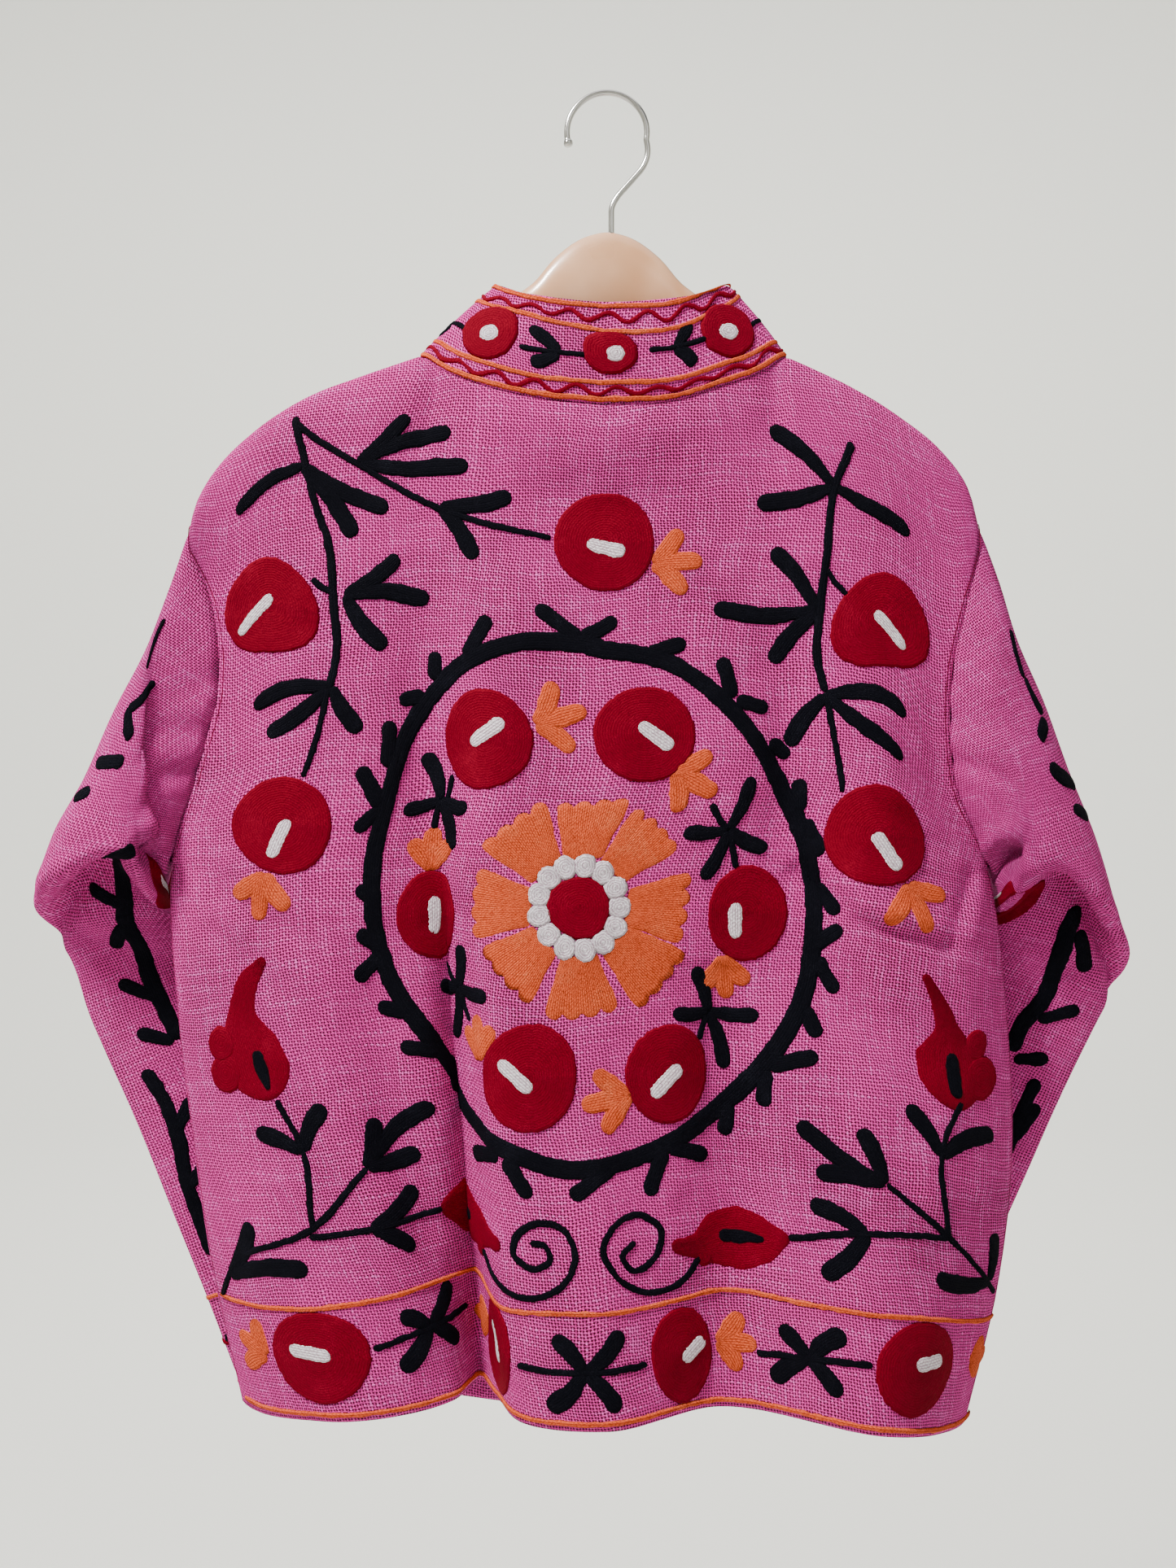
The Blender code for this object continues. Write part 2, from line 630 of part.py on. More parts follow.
# Hanger body, an oval section swept along its top line
hanger_rings = []
for x, z_top, height, half in hanger_rows:
    ring = []
    for k in range(16):
        a = 2 * math.pi * k / 16
        ring.append(Vector((x, half * math.cos(a), z_top - height / 2 + height / 2 * math.sin(a))))
    hanger_rings.append(ring)
x, z_top, height, half = hanger_rows[0]
tip = [Vector((x - 2.5, p.y * 0.55, z_top - height / 2 - 1.5 + (p.z - z_top + height / 2) * 0.55))
       for p in hanger_rings[0]]
hanger_rings.insert(0, tip)
x, z_top, height, half = hanger_rows[-1]
tip = [Vector((x + 2.0, p.y * 0.55, z_top - height / 2 - 2.0 + (p.z - z_top + height / 2) * 0.55))
       for p in hanger_rings[-1]]
hanger_rings.append(tip)
place("hanger_body", skin("hanger_body", hanger_rings), peach)

# Hook, round wire with a small ball at its end
stem = [Vector((x, 0, z)) for x, z in hook_stem]
path = [(p, wire_dia / 2) for p in stem]
for k in range(27):
    a = math.radians(-10 + 200 * k / 26)
    path.append((Vector((hook_centre[0] + hook_radius * math.cos(a), 0,
                         hook_centre[1] + hook_radius * math.sin(a))), wire_dia / 2))
end = path[-1][0]
way = (end - path[-2][0]).normalized()
for ahead, radius in ((0.6, 2.3), (1.6, 2.7), (2.8, 2.7), (3.8, 2.1), (4.4, 1.0)):
    path.append((end + way * ahead, radius))
wire = bpy.data.curves.new("hanger_hook", "CURVE")
wire.dimensions = "3D"
wire.bevel_depth = wire_dia / 2 * MM
wire.bevel_resolution = 3
wire.use_fill_caps = True
spline = wire.splines.new("POLY")
spline.points.add(len(path) - 1)
for point, (p, radius) in zip(spline.points, path):
    point.co = (p.x * MM, p.y * MM, p.z * MM, 1)
    point.radius = radius / (wire_dia / 2)
spline.use_smooth = True
place("hanger_hook", wire, steel)
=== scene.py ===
import math

import bpy
import numpy as np
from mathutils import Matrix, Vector


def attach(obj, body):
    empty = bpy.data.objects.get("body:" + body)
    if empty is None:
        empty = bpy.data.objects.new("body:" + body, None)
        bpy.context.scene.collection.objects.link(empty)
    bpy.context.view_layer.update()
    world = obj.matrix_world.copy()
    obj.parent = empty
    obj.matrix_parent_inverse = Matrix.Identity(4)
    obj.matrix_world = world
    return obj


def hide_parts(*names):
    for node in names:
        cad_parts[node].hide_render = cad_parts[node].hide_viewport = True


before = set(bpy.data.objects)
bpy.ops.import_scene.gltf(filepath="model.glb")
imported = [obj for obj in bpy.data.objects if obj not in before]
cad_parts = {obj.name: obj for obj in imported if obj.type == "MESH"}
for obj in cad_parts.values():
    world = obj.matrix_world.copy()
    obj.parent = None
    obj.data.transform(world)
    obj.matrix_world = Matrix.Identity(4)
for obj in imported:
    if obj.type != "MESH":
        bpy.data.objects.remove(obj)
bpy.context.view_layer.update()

# Back panel. One wide piece of pink slub cotton from the neck to the hem,
# embroidered flat before it was sewn to the fronts and sleeves. It hangs from
# the shoulders in long soft folds, the deepest left of the middle.
front_edge_left_x = -4.0
front_edge_right_x = 1.5
# half the depth of the garment where its cloth has rolled over the hanger
hanger_reach = 9.6
# rows of the body's panels: 0 is the top edge, 1 and 2 roll over the hanger
low_armhole_row = 5
underarm_row = 6
vent_row = 8
centre_crest_column = 6
shoulder_left = [(-243, -256), (-239, -241), (-227, -220), (-208, -201),
                 (-174, -179), (-141, -166), (-109, -155)]
shoulder_right = [(107, -155), (143, -172), (171, -189), (195, -208),
                  (210, -227), (219, -255)]
neck_back = [(-109, 0, -155), (-105, -5.6, -157.4), (-98, -10, -163), (-88, -14, -169), (-70, -18, -176),
             (-44, -21, -183), (-2, -23, -188), (41, -21, -185), (68, -18, -176), (86, -14, -169),
             (96, -10, -163), (103, -5.6, -157.4), (107, 0, -155)]
# x of the columns at the top: left edge, left crest, fold mouth, fold bottom,
# fold lip, fold shoulder, centre crest, right valley, right crest, right edge
back_top_x = [-243, -174, -109, -98, -86, -66, -4, 84, 150, 219]
# name, z at left, middle and right, how far the side turns to the front, x, y
back_rows = [
    ("yoke", -295, -240, -295, 0,
     [-231, -188, -129, -113, -96, -72, -6, 88, 155, 213],
     [-8, -12, -13, -13, -13, -14, -16, -14, -12, -8]),
    ("mid armhole", -345, -325, -345, 0,
     [-225, -185, -129, -110, -94, -70, -6, 93, 156, 202],
     [-10, -15, -15, -14, -15, -17, -20, -16, -16, -10]),
    ("low armhole", -405, -398, -405, 0,
     [-240, -187, -126, -103, -88, -65, -6, 97, 157, 205],
     [-8, -20, -17, -13, -16, -23, -26, -18, -22, -8]),
    ("underarm", -454, -460, -457, 0.5,
     [-255, -188, -115, -93, -86, -64, -20, 95, 161, 226],
     [2, -24, -17, -8, -14, -27, -30, -19, -26, 2]),
    ("waist", -544, -538, -544, 1,
     [-252, -183, -107, -90, -80, -64, -25, 87, 165, 238],
     [3, -28, -18, -3, -15, -34, -38, -22, -32, 3]),
    ("vent top", -625, -613, -625, 1,
     [-242, -172, -99, -83, -73, -60, -20, 80, 165, 241],
     [3, -34, -20, 0, -17, -40, -46, -26, -40, 3]),
    ("band", -693, -678, -701, 1,
     [-231, -157, -92, -77, -66, -55, -11, 72, 161, 232],
     [2, -42, -24, 0, -22, -48, -58, -30, -50, 2]),
    ("hem", -769, -757, -781, 1,
     [-213, -142, -86, -73, -60, -45, 0, 66, 154, 212],
     [0, -50, -28, 0, -28, -58, -70, -35, -60, 0]),
]
# Creases pressed in: where each starts and ends, across from the
# centre line and up from the hem, its half width and its depth
back_creases = [
    (-98, 490, -104, 250, 24, 6.0), (-66, 440, -60, 250, 13, -1.8), (-112, 290, -126, 40, 20, 8.5),
    (-150, 250, -142, 40, 14, 1.8), (126, 308, 200, 254, 9, 6.0), (166, 280, 244, 276, 5, 4.0),
    (238, 336, 216, 262, 5, 3.5), (98, 460, 154, 250, 22, 8.5), (108, 268, 230, 192, 26, 9.0),
    (150, 352, 212, 328, 7, 2.2), (-218, 312, -150, 262, 8, 2.6), (-224, 284, -168, 228, 7, 2.0),
    (94, 250, 74, -10, 22, 7.0), (112, 420, 118, 300, 9, 2.0), (148, 250, 142, 30, 15, 2.2),
    (38, 240, 25, 12, 20, 3.4), (-26, 200, -18, 8, 15, -1.6), (-190, 200, -178, 20, 13, 2.0),
    (195, 200, 186, 20, 13, 1.8), (-178, 490, -116, 436, 12, 1.5), (120, 480, 186, 430, 12, 1.7),
    (-34, 528, 44, 516, 12, 1.1), (178, 150, 218, 90, 9, 1.9), (-212, 130, -186, 60, 9, 1.8),
    (60, 120, 100, 36, 12, 1.4), (-94, 80, -70, 8, 9, 1.5), (-30, 470, -20, 330, 22, 1.3),
    (55, 470, 48, 340, 20, 1.2), (-205, 420, -170, 372, 10, 1.4), (168, 400, 204, 372, 9, 1.5),
]


def smooth_line(points, at, marks=None, power=0.75):
    """Points on a smooth curve through a table's points, at places given by their number."""
    points = np.asarray(points, float)
    gap = np.maximum(np.linalg.norm(np.diff(points, axis=0), axis=1), 0.05) ** power
    knots = np.concatenate([[0.0], np.cumsum(gap)])
    if marks is None:
        marks = np.arange(len(points))
    t = np.interp(at, marks, knots)
    i = np.clip(np.searchsorted(knots, t, side="right") - 1, 0, len(points) - 2)
    run = np.diff(points, axis=0) / gap[:, None]
    slope = np.vstack([run[:1],
                       (run[:-1] * gap[1:, None] + run[1:] * gap[:-1, None]) / (gap[:-1] + gap[1:])[:,
                                                                                                    None],
                       run[-1:]])
    h = gap[i]
    f = ((t - knots[i]) / h)[:, None]
    h = h[:, None]
    return (points[i] * (2 * f**3 - 3 * f**2 + 1) + slope[i] * h * (f**3 - 2 * f**2 + f)
            + points[i + 1] * (3 * f**2 - 2 * f**3) + slope[i + 1] * h * (f**3 - f**2))


def steps(counts, marks=None):
    """Places for the rows or columns of a mesh: so many to each span between the marks."""
    marks = marks or range(len(counts) + 1)
    out = [0.0]
    for first, last, count in zip(marks, marks[1:], counts):
        out += [first + (last - first) * (k + 1) / count for k in range(count)]
    return np.array(out)


def top_of_back(at):
    """The top edge of the back: left shoulder, neck, right shoulder."""
    x = np.interp(at, np.arange(10), back_top_x)
    neck = smooth_line(neck_back, np.linspace(0, len(neck_back) - 1, 600), power=1.0)
    left, right = [smooth_line([(px, 0, pz) for px, pz in side], np.linspace(0, len(side) - 1, 300),
                               power=1.0)
                   for side in (shoulder_left, shoulder_right)]
    line = np.vstack([left[:-1], neck, right[1:]])
    return np.column_stack([x, np.interp(x, line[:, 0], line[:, 1]), np.interp(x, line[:, 0], line[:, 2])])


def over_hanger(top, side):
    """Two rows where the cloth rolls over the hanger, or runs straight at the neck."""
    y = np.abs(top[:, 1])
    f = np.minimum(1.0, y / hanger_reach)
    first = np.column_stack([top[:, 0], side * (y + 0.58 * np.maximum(0.0, hanger_reach - y) + 0.5 * f),
                             top[:, 2] - 1.9 - 3.1 * f])
    second = np.column_stack([top[:, 0], side * (np.maximum(y, hanger_reach) + 1.2 * f),
                              top[:, 2] - 9.5 - 3.0 * f])
    return first, second


def back_row(row, at):
    """One row of the back, with its sides turned to the front below the armholes."""
    name, z_left, z_mid, z_right, turn, xs, ys = row
    power = 5.0 if name == "hem" else 2.5
    points, marks = [], []
    for i in range(10):
        side = (i - 4.5) / 4.5
        z = z_mid + ((z_left if side < 0 else z_right) - z_mid) * abs(side) ** power
        points.append((xs[i], ys[i], z))
        marks.append(float(i))
    if turn > 0:
        x, y, z = points[0]
        points.insert(1, (x + 4.5 * turn, y - 8 * turn, z))
        marks.insert(1, 0.14)
        x, y, z = points[-1]
        points.insert(len(points) - 1, (x - 4.5 * turn, y - 8 * turn, z))
        marks.insert(len(marks) - 1, 8.86)
    return smooth_line(points, at, marks)


def through_rows(rows, down):
    """A surface through rows of points, each column a smooth line down them."""
    rows = np.array(rows)
    return np.stack([smooth_line(rows[:, i], down) for i in range(rows.shape[1])], axis=1)


def armhole_round(down):
    """How far the cloth swings out where the armhole rounds to its lowest place."""
    f = np.clip(down - low_armhole_row, 0, 1)
    return 8.0 * (np.sqrt(1 - f * f) - (1 - f))


def vent_gap(down):
    """How far the open side vents stand apart."""
    return np.where(down <= vent_row, 0.0, 1.6 * (0.7 + 0.3 * (down - vent_row) / 2))


def facing(points, sign, closed=False):
    """Unit normals of a grid of points, out of the garment."""
    if closed:
        wrapped = np.concatenate([points[:, -2:], points, points[:, :2]], axis=1)
        across = np.gradient(wrapped, axis=1)[:, 2:-2]
    else:
        across = np.gradient(points, axis=1)
    out = np.cross(np.gradient(points, axis=0), across) * sign
    return out / np.maximum(np.linalg.norm(out, axis=2, keepdims=True), 1e-9)


def flat_sizes(points, middle, closed=False):
    """Where each point lies on the flat cut: across from a column, and up from the last row."""
    step = np.linalg.norm(np.diff(points, axis=1), axis=2)
    across = np.concatenate([np.zeros((len(points), 1)), np.cumsum(step, axis=1)], axis=1)
    across -= across[:, middle:middle + 1]
    step = np.linalg.norm(np.diff(points, axis=0), axis=2)
    up = np.concatenate([np.zeros((1, points.shape[1])), np.cumsum(step, axis=0)])
    return across, up[-1:] - up


def pressed(points, flat, creases, sign, closed=False):
    """The cloth with its creases: soft troughs with a raised lip along one side."""
    across, up = flat
    push = np.zeros(across.shape)
    for n, (a0, b0, a1, b1, width, depth) in enumerate(creases):
        run = np.array([a1 - a0, b1 - b0], float)
        length = np.hypot(*run)
        run /= length
        along = (across - a0) * run[0] + (up - b0) * run[1]
        bow = 0.05 * length * math.sin(2.3 * n) * np.sin(np.pi * np.clip(along / length, 0, 1))
        off = (across - a0) * -run[1] + (up - b0) * run[0] - bow
        ends = np.clip(along / length, 0, 1)
        fade = np.sin(np.pi * ends ** (0.8 + 0.3 * math.sin(n))) ** 0.8
        beyond = np.where(along < 0, -along, np.maximum(along - length, 0))
        away = np.exp(-(beyond / width) ** 2)
        shape = np.exp(-(off / width) ** 2) - 0.5 * np.exp(-((off - 1.9 * width) / (1.3 * width)) ** 2)
        push -= depth * shape * fade * away
    return points + facing(points, sign, closed) * push[:, :, None]


def ripple(flat, size, height, seed):
    """A slow uneven swell of the cloth, the same each time."""
    across, up = flat
    draw = np.random.default_rng(seed)
    out = np.zeros(across.shape)
    for _ in range(14):
        turn, phase = draw.uniform(0, 2 * np.pi, 2)
        wave = size * draw.uniform(0.6, 1.8)
        out += np.sin(2 * np.pi * (across * math.cos(turn) + up * math.sin(turn)) / wave + phase)
    return out * height / 4


def creased(form, flat, creases, swell, calm, sign):
    """The form with its creases and swells, calmed down towards its edges."""
    cloth = pressed(form, flat, creases, sign)
    return form + (cloth - form + facing(form, sign) * swell[:, :, None]) * calm[:, :, None]


down_all = steps([4, 5, 14, 18, 22, 20, 30, 28, 25, 26])
back_at = steps([4, 20, 26, 18, 12, 14, 22, 32, 24, 20, 4], [0, 0.14, 1, 2, 3, 4, 5, 6, 7, 8, 8.86, 9])
top = top_of_back(back_at)
first, second = over_hanger(top, -1)
back_form = through_rows([top, first, second] + [back_row(row, back_at) for row in back_rows], down_all)
edge = np.minimum(back_at, 9 - back_at)
back_form[:, :, 1] -= armhole_round(down_all)[:, None] * np.maximum(0, 1 - edge)[None] ** 2
back_form[:, :, 1] -= vent_gap(down_all)[:, None] * np.maximum(0, 1 - edge / 0.14)[None]
back_middle = int(np.argmin(abs(back_at - centre_crest_column)))
back_flat = flat_sizes(back_form, back_middle)
back_edges = back_form[:, [0, -1]].copy()
calm = np.minimum(1, edge / 0.5)[None] * np.minimum(1, down_all / 2.5)[:, None]
swell = ripple(back_flat, 95, 0.9, 4) + ripple(back_flat, 34, 0.26, 9)
back_cloth = creased(back_form, back_flat, back_creases, swell, calm, 1)


class Shade:
    """A socket in a material's nodes, so that sums on it are written as sums."""

    def __init__(self, tree, socket=None):
        self.tree = tree
        self.socket = socket

    def node(self, kind, settings=None, values=None, out=0):
        made = self.tree.nodes.new(kind)
        for name, value in (settings or {}).items():
            if name == "stops":
                ramp = made.color_ramp
                while len(ramp.elements) < len(value):
                    ramp.elements.new(0.5)
                for element, (place, colour) in zip(ramp.elements, value):
                    element.position = place
                    element.color = colour
            else:
                setattr(made, name, value)
        for name, value in (values or {}).items():
            if isinstance(value, Shade):
                self.tree.links.new(value.socket, made.inputs[name])
            else:
                made.inputs[name].default_value = value
        return Shade(self.tree, made.outputs[out])

    def math(self, operation, *others):
        values = {0: self}
        values.update({k + 1: other for k, other in enumerate(others)})
        return self.node("ShaderNodeMath", {"operation": operation}, values)

    def within(self, low=0.0, high=1.0):
        return self.math("MAXIMUM", low).math("MINIMUM", high)

    def split(self):
        """The two places of a flat vector."""
        return [self.node("ShaderNodeSeparateXYZ", {}, {0: self}, out=k) for k in (0, 1)]

    def noise(self, size, detail, rough=0.5, twist=0.0, dimensions="3D"):
        """Noise over these places, from 0 to 1."""
        values = {"Vector": self, "Scale": size, "Detail": detail, "Roughness": rough, "Distortion": twist}
        return self.node("ShaderNodeTexNoise", {"noise_dimensions": dimensions}, values)

    def blend(self, low, high):
        """One colour where this is 0 and another where it is 1."""
        return self.node("ShaderNodeMix", {"data_type": "RGBA"}, {0: self, 6: low, 7: high}, out=2)

    def __add__(self, other):
        return self.math("ADD", other)

    __radd__ = __add__

    def __mul__(self, other):
        return self.math("MULTIPLY", other)

    __rmul__ = __mul__

    def __sub__(self, other):
        return self.math("SUBTRACT", other)

    def __rsub__(self, other):
        return (self * -1.0) + other

    def __truediv__(self, other):
        return self.math("DIVIDE", other)

    def __pow__(self, other):
        return self.math("POWER", other)


def new_material(name):
    """A material, its shader and a starting point for its nodes."""
    made = bpy.data.materials.new(name)
    made.use_nodes = True
    shader = made.node_tree.nodes["Principled BSDF"]
    return made, shader, Shade(made.node_tree)


def settle(shader, values):
    """Fixed values of a shader, by the names of its sockets."""
    for name, value in values.items():
        shader.inputs[name].default_value = value


def connect(value, shader, name):
    value.tree.links.new(value.socket, shader.inputs[name])


def bumped(height, shader, distance, strength):
    bump = height.node("ShaderNodeBump", {}, {"Height": height, "Distance": distance, "Strength": strength})
    connect(bump, shader, "Normal")


def slub_cotton(name, thread, crown_highlight, gap_shade):
    """Plain weave of uneven hand-spun thread with thick threads here and there; painted shade darkens the
    thread's flanks and the weave's open gaps, and a painted highlight lies on the thick threads' crowns.
    """
    made, shader, start = new_material(name)
    flat = start.node("ShaderNodeUVMap", {"uv_map": "flat"})
    across, up = flat.split()

    def noise(where, size, detail, rough=0.5):
        return where.noise(size, detail, rough, dimensions="2D")

    across = across + (noise(flat, 0.013, 1.0) - 0.5) * 10.0 + (noise(flat, 0.08, 1.0) - 0.5) * 1.6
    up = up + (noise(flat, 0.011, 2.0) - 0.5) * 8.0 + (noise(flat, 0.09, 1.0) - 0.5) * 1.6
    warp = (across * (math.pi / weave_pitch)).math("SINE")
    weft = (up * (math.pi / weave_pitch)).math("SINE")
    over = (warp * weft * 4.0).within(-0.5, 0.5) + 0.5
    along_warp = start.node("ShaderNodeCombineXYZ", {},
                            {0: (across / weave_pitch).math("FLOOR") * 7.13, 1: up * 0.034})
    along_weft = start.node("ShaderNodeCombineXYZ", {},
                            {0: across * 0.024, 1: (up / weave_pitch).math("FLOOR") * 9.77})
    slub_warp = noise(along_warp, 1.0, 2.0)
    slub_weft = noise(along_weft, 1.0, 2.0)
    thick = over * slub_warp + (1.0 - over) * slub_weft
    fuzz = noise(flat, 1.3, 4.0, 0.7)
    patch = noise(flat, 0.012, 3.0)
    top_warp = warp.math("ABSOLUTE") ** 0.85
    top_weft = weft.math("ABSOLUTE") ** 0.85
    yarn = over * top_warp * (1.0 - top_weft * 0.25) + (1.0 - over) * top_weft * (1.0 - top_warp * 0.25)
    hole = (1.0 - top_warp) * (1.0 - top_weft)
    height = yarn * (thick * 0.9 + 0.55)
    # How open the weave is at each place: its open gaps are painted dark, as the shade seen through them.
    open_gap_shade = hole * (11.2 - (slub_warp + slub_weft) * 5.6) - 0.26
    open_gap_shade = (open_gap_shade + (patch - 0.5) * 1.5 + (fuzz - 0.5) * 0.5).within()
    body = (height * 1.25 - 0.12 + (fuzz - 0.5) * 0.7).within()
    # Painted shade: the thread is darker down its flanks, where it sinks at the crossings.
    tint = body.blend(tuple(0.62 * c for c in thread[:3]) + (1,), thread)
    # Painted highlight: lighter crowns on the thick threads.
    painted_highlight = ((thick - 0.53) * 4.2 + (fuzz - 0.5) * 1.3 + (patch - 0.5) * 0.8).within(0.0, 0.85)
    tint = (painted_highlight * body).blend(tint, crown_highlight)
    # The open gaps take the painted shade colour.
    tint = open_gap_shade.blend(tint, gap_shade)
    connect(tint, shader, "Base Color")
    connect(0.96 - body * 0.12, shader, "Roughness")
    settle(shader, {"Specular IOR Level": 0.08, "Sheen Weight": 0.04, "Sheen Roughness": 0.5,
                    "Sheen Tint": (1.0, 0.62, 0.85, 1)})
    bumped(height + fuzz * 0.35, shader, 0.0014, 0.95)
    return made


weave_pitch = 1.7
# Thread colour, the painted highlight on the thick threads' crowns, and the painted shade in the weave's
# gaps.
pink_cotton = slub_cotton("pink_slub_cotton", (0.84, 0.050, 0.38, 1), (1.0, 0.17, 0.64, 1),
                          (0.08, 0.001, 0.012, 1))


def new_piece(name, points, faces, material, places=None):
    """A smooth mesh of points in metres, put into the scene, with its UV map if it has one."""
    mesh = bpy.data.meshes.new(name)
    mesh.from_pydata(points.tolist(), [], faces)
    if places is not None:
        layer = mesh.uv_layers.new(name="flat")
        layer.data.foreach_set("uv", places.astype(np.float32).ravel())
    mesh.polygons.foreach_set("use_smooth", [True] * len(mesh.polygons))
    mesh.materials.append(material)
    piece = bpy.data.objects.new(name, mesh)
    bpy.context.scene.collection.objects.link(piece)
    return piece


def cloth_shell(name, points, flat, sign, thick, closed=False):
    """A thin sheet with both faces and narrowed rims, with its flat cut as the UV map."""
    rows, columns = points.shape[:2]
    half = np.full((rows, columns), thick / 2)
    for k, share in ((0, 0.25), (1, 0.8)):
        for rim in [np.s_[k], np.s_[-1 - k]] + ([] if closed else [np.s_[:, k], np.s_[:, -1 - k]]):
            half[rim] = np.minimum(half[rim], share * thick / 2)
    lift = facing(points, sign, closed) * half[:, :, None]
    both = np.vstack([(points + lift).reshape(-1, 3), (points - lift).reshape(-1, 3)]) * 0.001
    number = np.arange(rows * columns).reshape(rows, columns)
    right = np.roll(number, -1, axis=1) if closed else number[:, 1:]
    left = number if closed else number[:, :-1]
    a, b, c, d = left[:-1].ravel(), right[:-1].ravel(), right[1:].ravel(), left[1:].ravel()
    one_way = np.column_stack([a, b, c, d])
    other_way = np.column_stack([a, d, c, b])
    n = rows * columns
    faces = [one_way, other_way + n] if sign < 0 else [other_way, one_way + n]
    rims = [(left[0], right[0], 1), (left[-1], right[-1], -1)]
    if not closed:
        rims += [(number[:-1, 0], number[1:, 0], -1), (number[:-1, -1], number[1:, -1], 1)]
    for p, q, way in rims:
        faces.append(np.column_stack([p, p + n, q + n, q] if way * sign < 0 else [p, q, q + n, p + n]))
    faces = np.vstack(faces)
    places = np.column_stack([flat[0].ravel(), flat[1].ravel()])
    piece = new_piece(name, both, faces.tolist(), pink_cotton, np.vstack([places, places])[faces.ravel()])
    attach(piece, "root")
    return piece


cloth_thick = 1.7
back_cloth_piece = cloth_shell("back_cloth", back_cloth, back_flat, 1, cloth_thick)
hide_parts("back")

# Embroidery. Wool chain stitch in four colours, worked by hand on the flat
# cloth: rows round and round in the discs, and side by side in leaves and lines.
# The stitches lie on the cloth and are sunk a little into it at their rims.

# width and length of one stitch, the distance between raised rows, how deep the
# rims are sunk, how far apart a stroke's rings lie, and how wide a chain line is
stitch_row = 1.45
stitch_link = 2.3
stitch_ridge = 2.9
stitch_sink = 0.35
stitch_step = 1.45
chain_line = 3.3


class Ground:
    """The outer face of a cloth by place on its flat cut, to lay the stitches on."""

    def __init__(self, cloth, flat, sign, closed=False, thick=cloth_thick):
        self.face = thick / 2
        across, up = flat
        both = np.concatenate([cloth, facing(cloth, sign, closed), up[:, :, None]], axis=2)[::-1]
        if across[0, 0] > across[0, -1]:
            both, across, up = both[:, ::-1], across[:, ::-1], up[:, ::-1]
        self.low = across.min()
        self.step = 1.5
        wide = np.arange(self.low, across.max() + self.step, self.step)
        tall = np.arange(0, up.max() + self.step, self.step)
        even = np.array([[np.interp(wide, line, both[r, :, k]) for k in range(7)]
                         for r, line in enumerate(across[::-1])])
        self.table = np.array([[np.interp(tall, even[:, 6, i], even[:, k, i]) for k in range(6)]
                               for i in range(len(wide))]).transpose(2, 0, 1)
        self.edges = up[::-1, 0], across[::-1, 0], up[::-1, -1], across[::-1, -1]
        self.mirrored = np.linalg.det(self.slopes(float(np.median(across)), float(np.median(up)))) < 0

    def sides(self, b):
        """How far the cloth reaches across at a height, on one side and the other."""
        return np.interp(b, self.edges[0], self.edges[1]), np.interp(b, self.edges[2], self.edges[3])

    def at(self, a, b, height):
        """Points at a height over the cloth's middle, in millimetres."""
        u = np.clip((np.asarray(a) - self.low) / self.step, 0, self.table.shape[1] - 1.001)
        v = np.clip(np.asarray(b) / self.step, 0, self.table.shape[0] - 1.001)
        i, j = u.astype(int), v.astype(int)
        u, v = (u - i)[..., None], (v - j)[..., None]
        near = self.table[j, i] * (1 - u) + self.table[j, i + 1] * u
        far = self.table[j + 1, i] * (1 - u) + self.table[j + 1, i + 1] * u
        here = near * (1 - v) + far * v
        return here[..., :3] + here[..., 3:] * np.asarray(height)[..., None]

    def slopes(self, a, b):
        """How a step on the flat cut moves to the right and up, as seen from outside."""
        probe = 4.0
        low, high = sorted(self.sides(b))
        a, b = float(np.clip(a, low + 2 * probe, high - 2 * probe)), max(b, 5.0)
        here = self.at([a - probe, a + probe, a, a], [b, b, b - probe, b + probe], [0.0] * 4)
        out = self.at([a], [b], [1.0])[0] - self.at([a], [b], [0.0])[0]
        rise = np.array([0, 0, 1.0]) - out * out[2] / out.dot(out)
        rise /= np.linalg.norm(rise)
        right = np.cross(rise, out) / np.linalg.norm(out)
        moves = np.array([here[1] - here[0], here[3] - here[2]]).T / (2 * probe)
        found = np.array([right @ moves, rise @ moves])
        return found if 0.75 < abs(np.linalg.det(found)) < 1.3 else np.diag([math.copysign(1, found[0, 0]),
                                                                             1.0])

    def round_about(self, a, b, points):
        """Flat places of points given in millimetres right and up of one place, as seen."""
        return np.array([a, b]) + np.asarray(points, float) @ np.linalg.inv(self.slopes(a, b)).T


def run_length(line):
    """How far along a line each of its points lies."""
    return np.concatenate([[0.0], np.cumsum(np.linalg.norm(np.diff(line, axis=0), axis=1))])


def points_along(line, at):
    """Points on a line at distances measured along it."""
    length = run_length(line)
    return np.column_stack([np.interp(at, length, line[:, k]) for k in range(line.shape[1])])


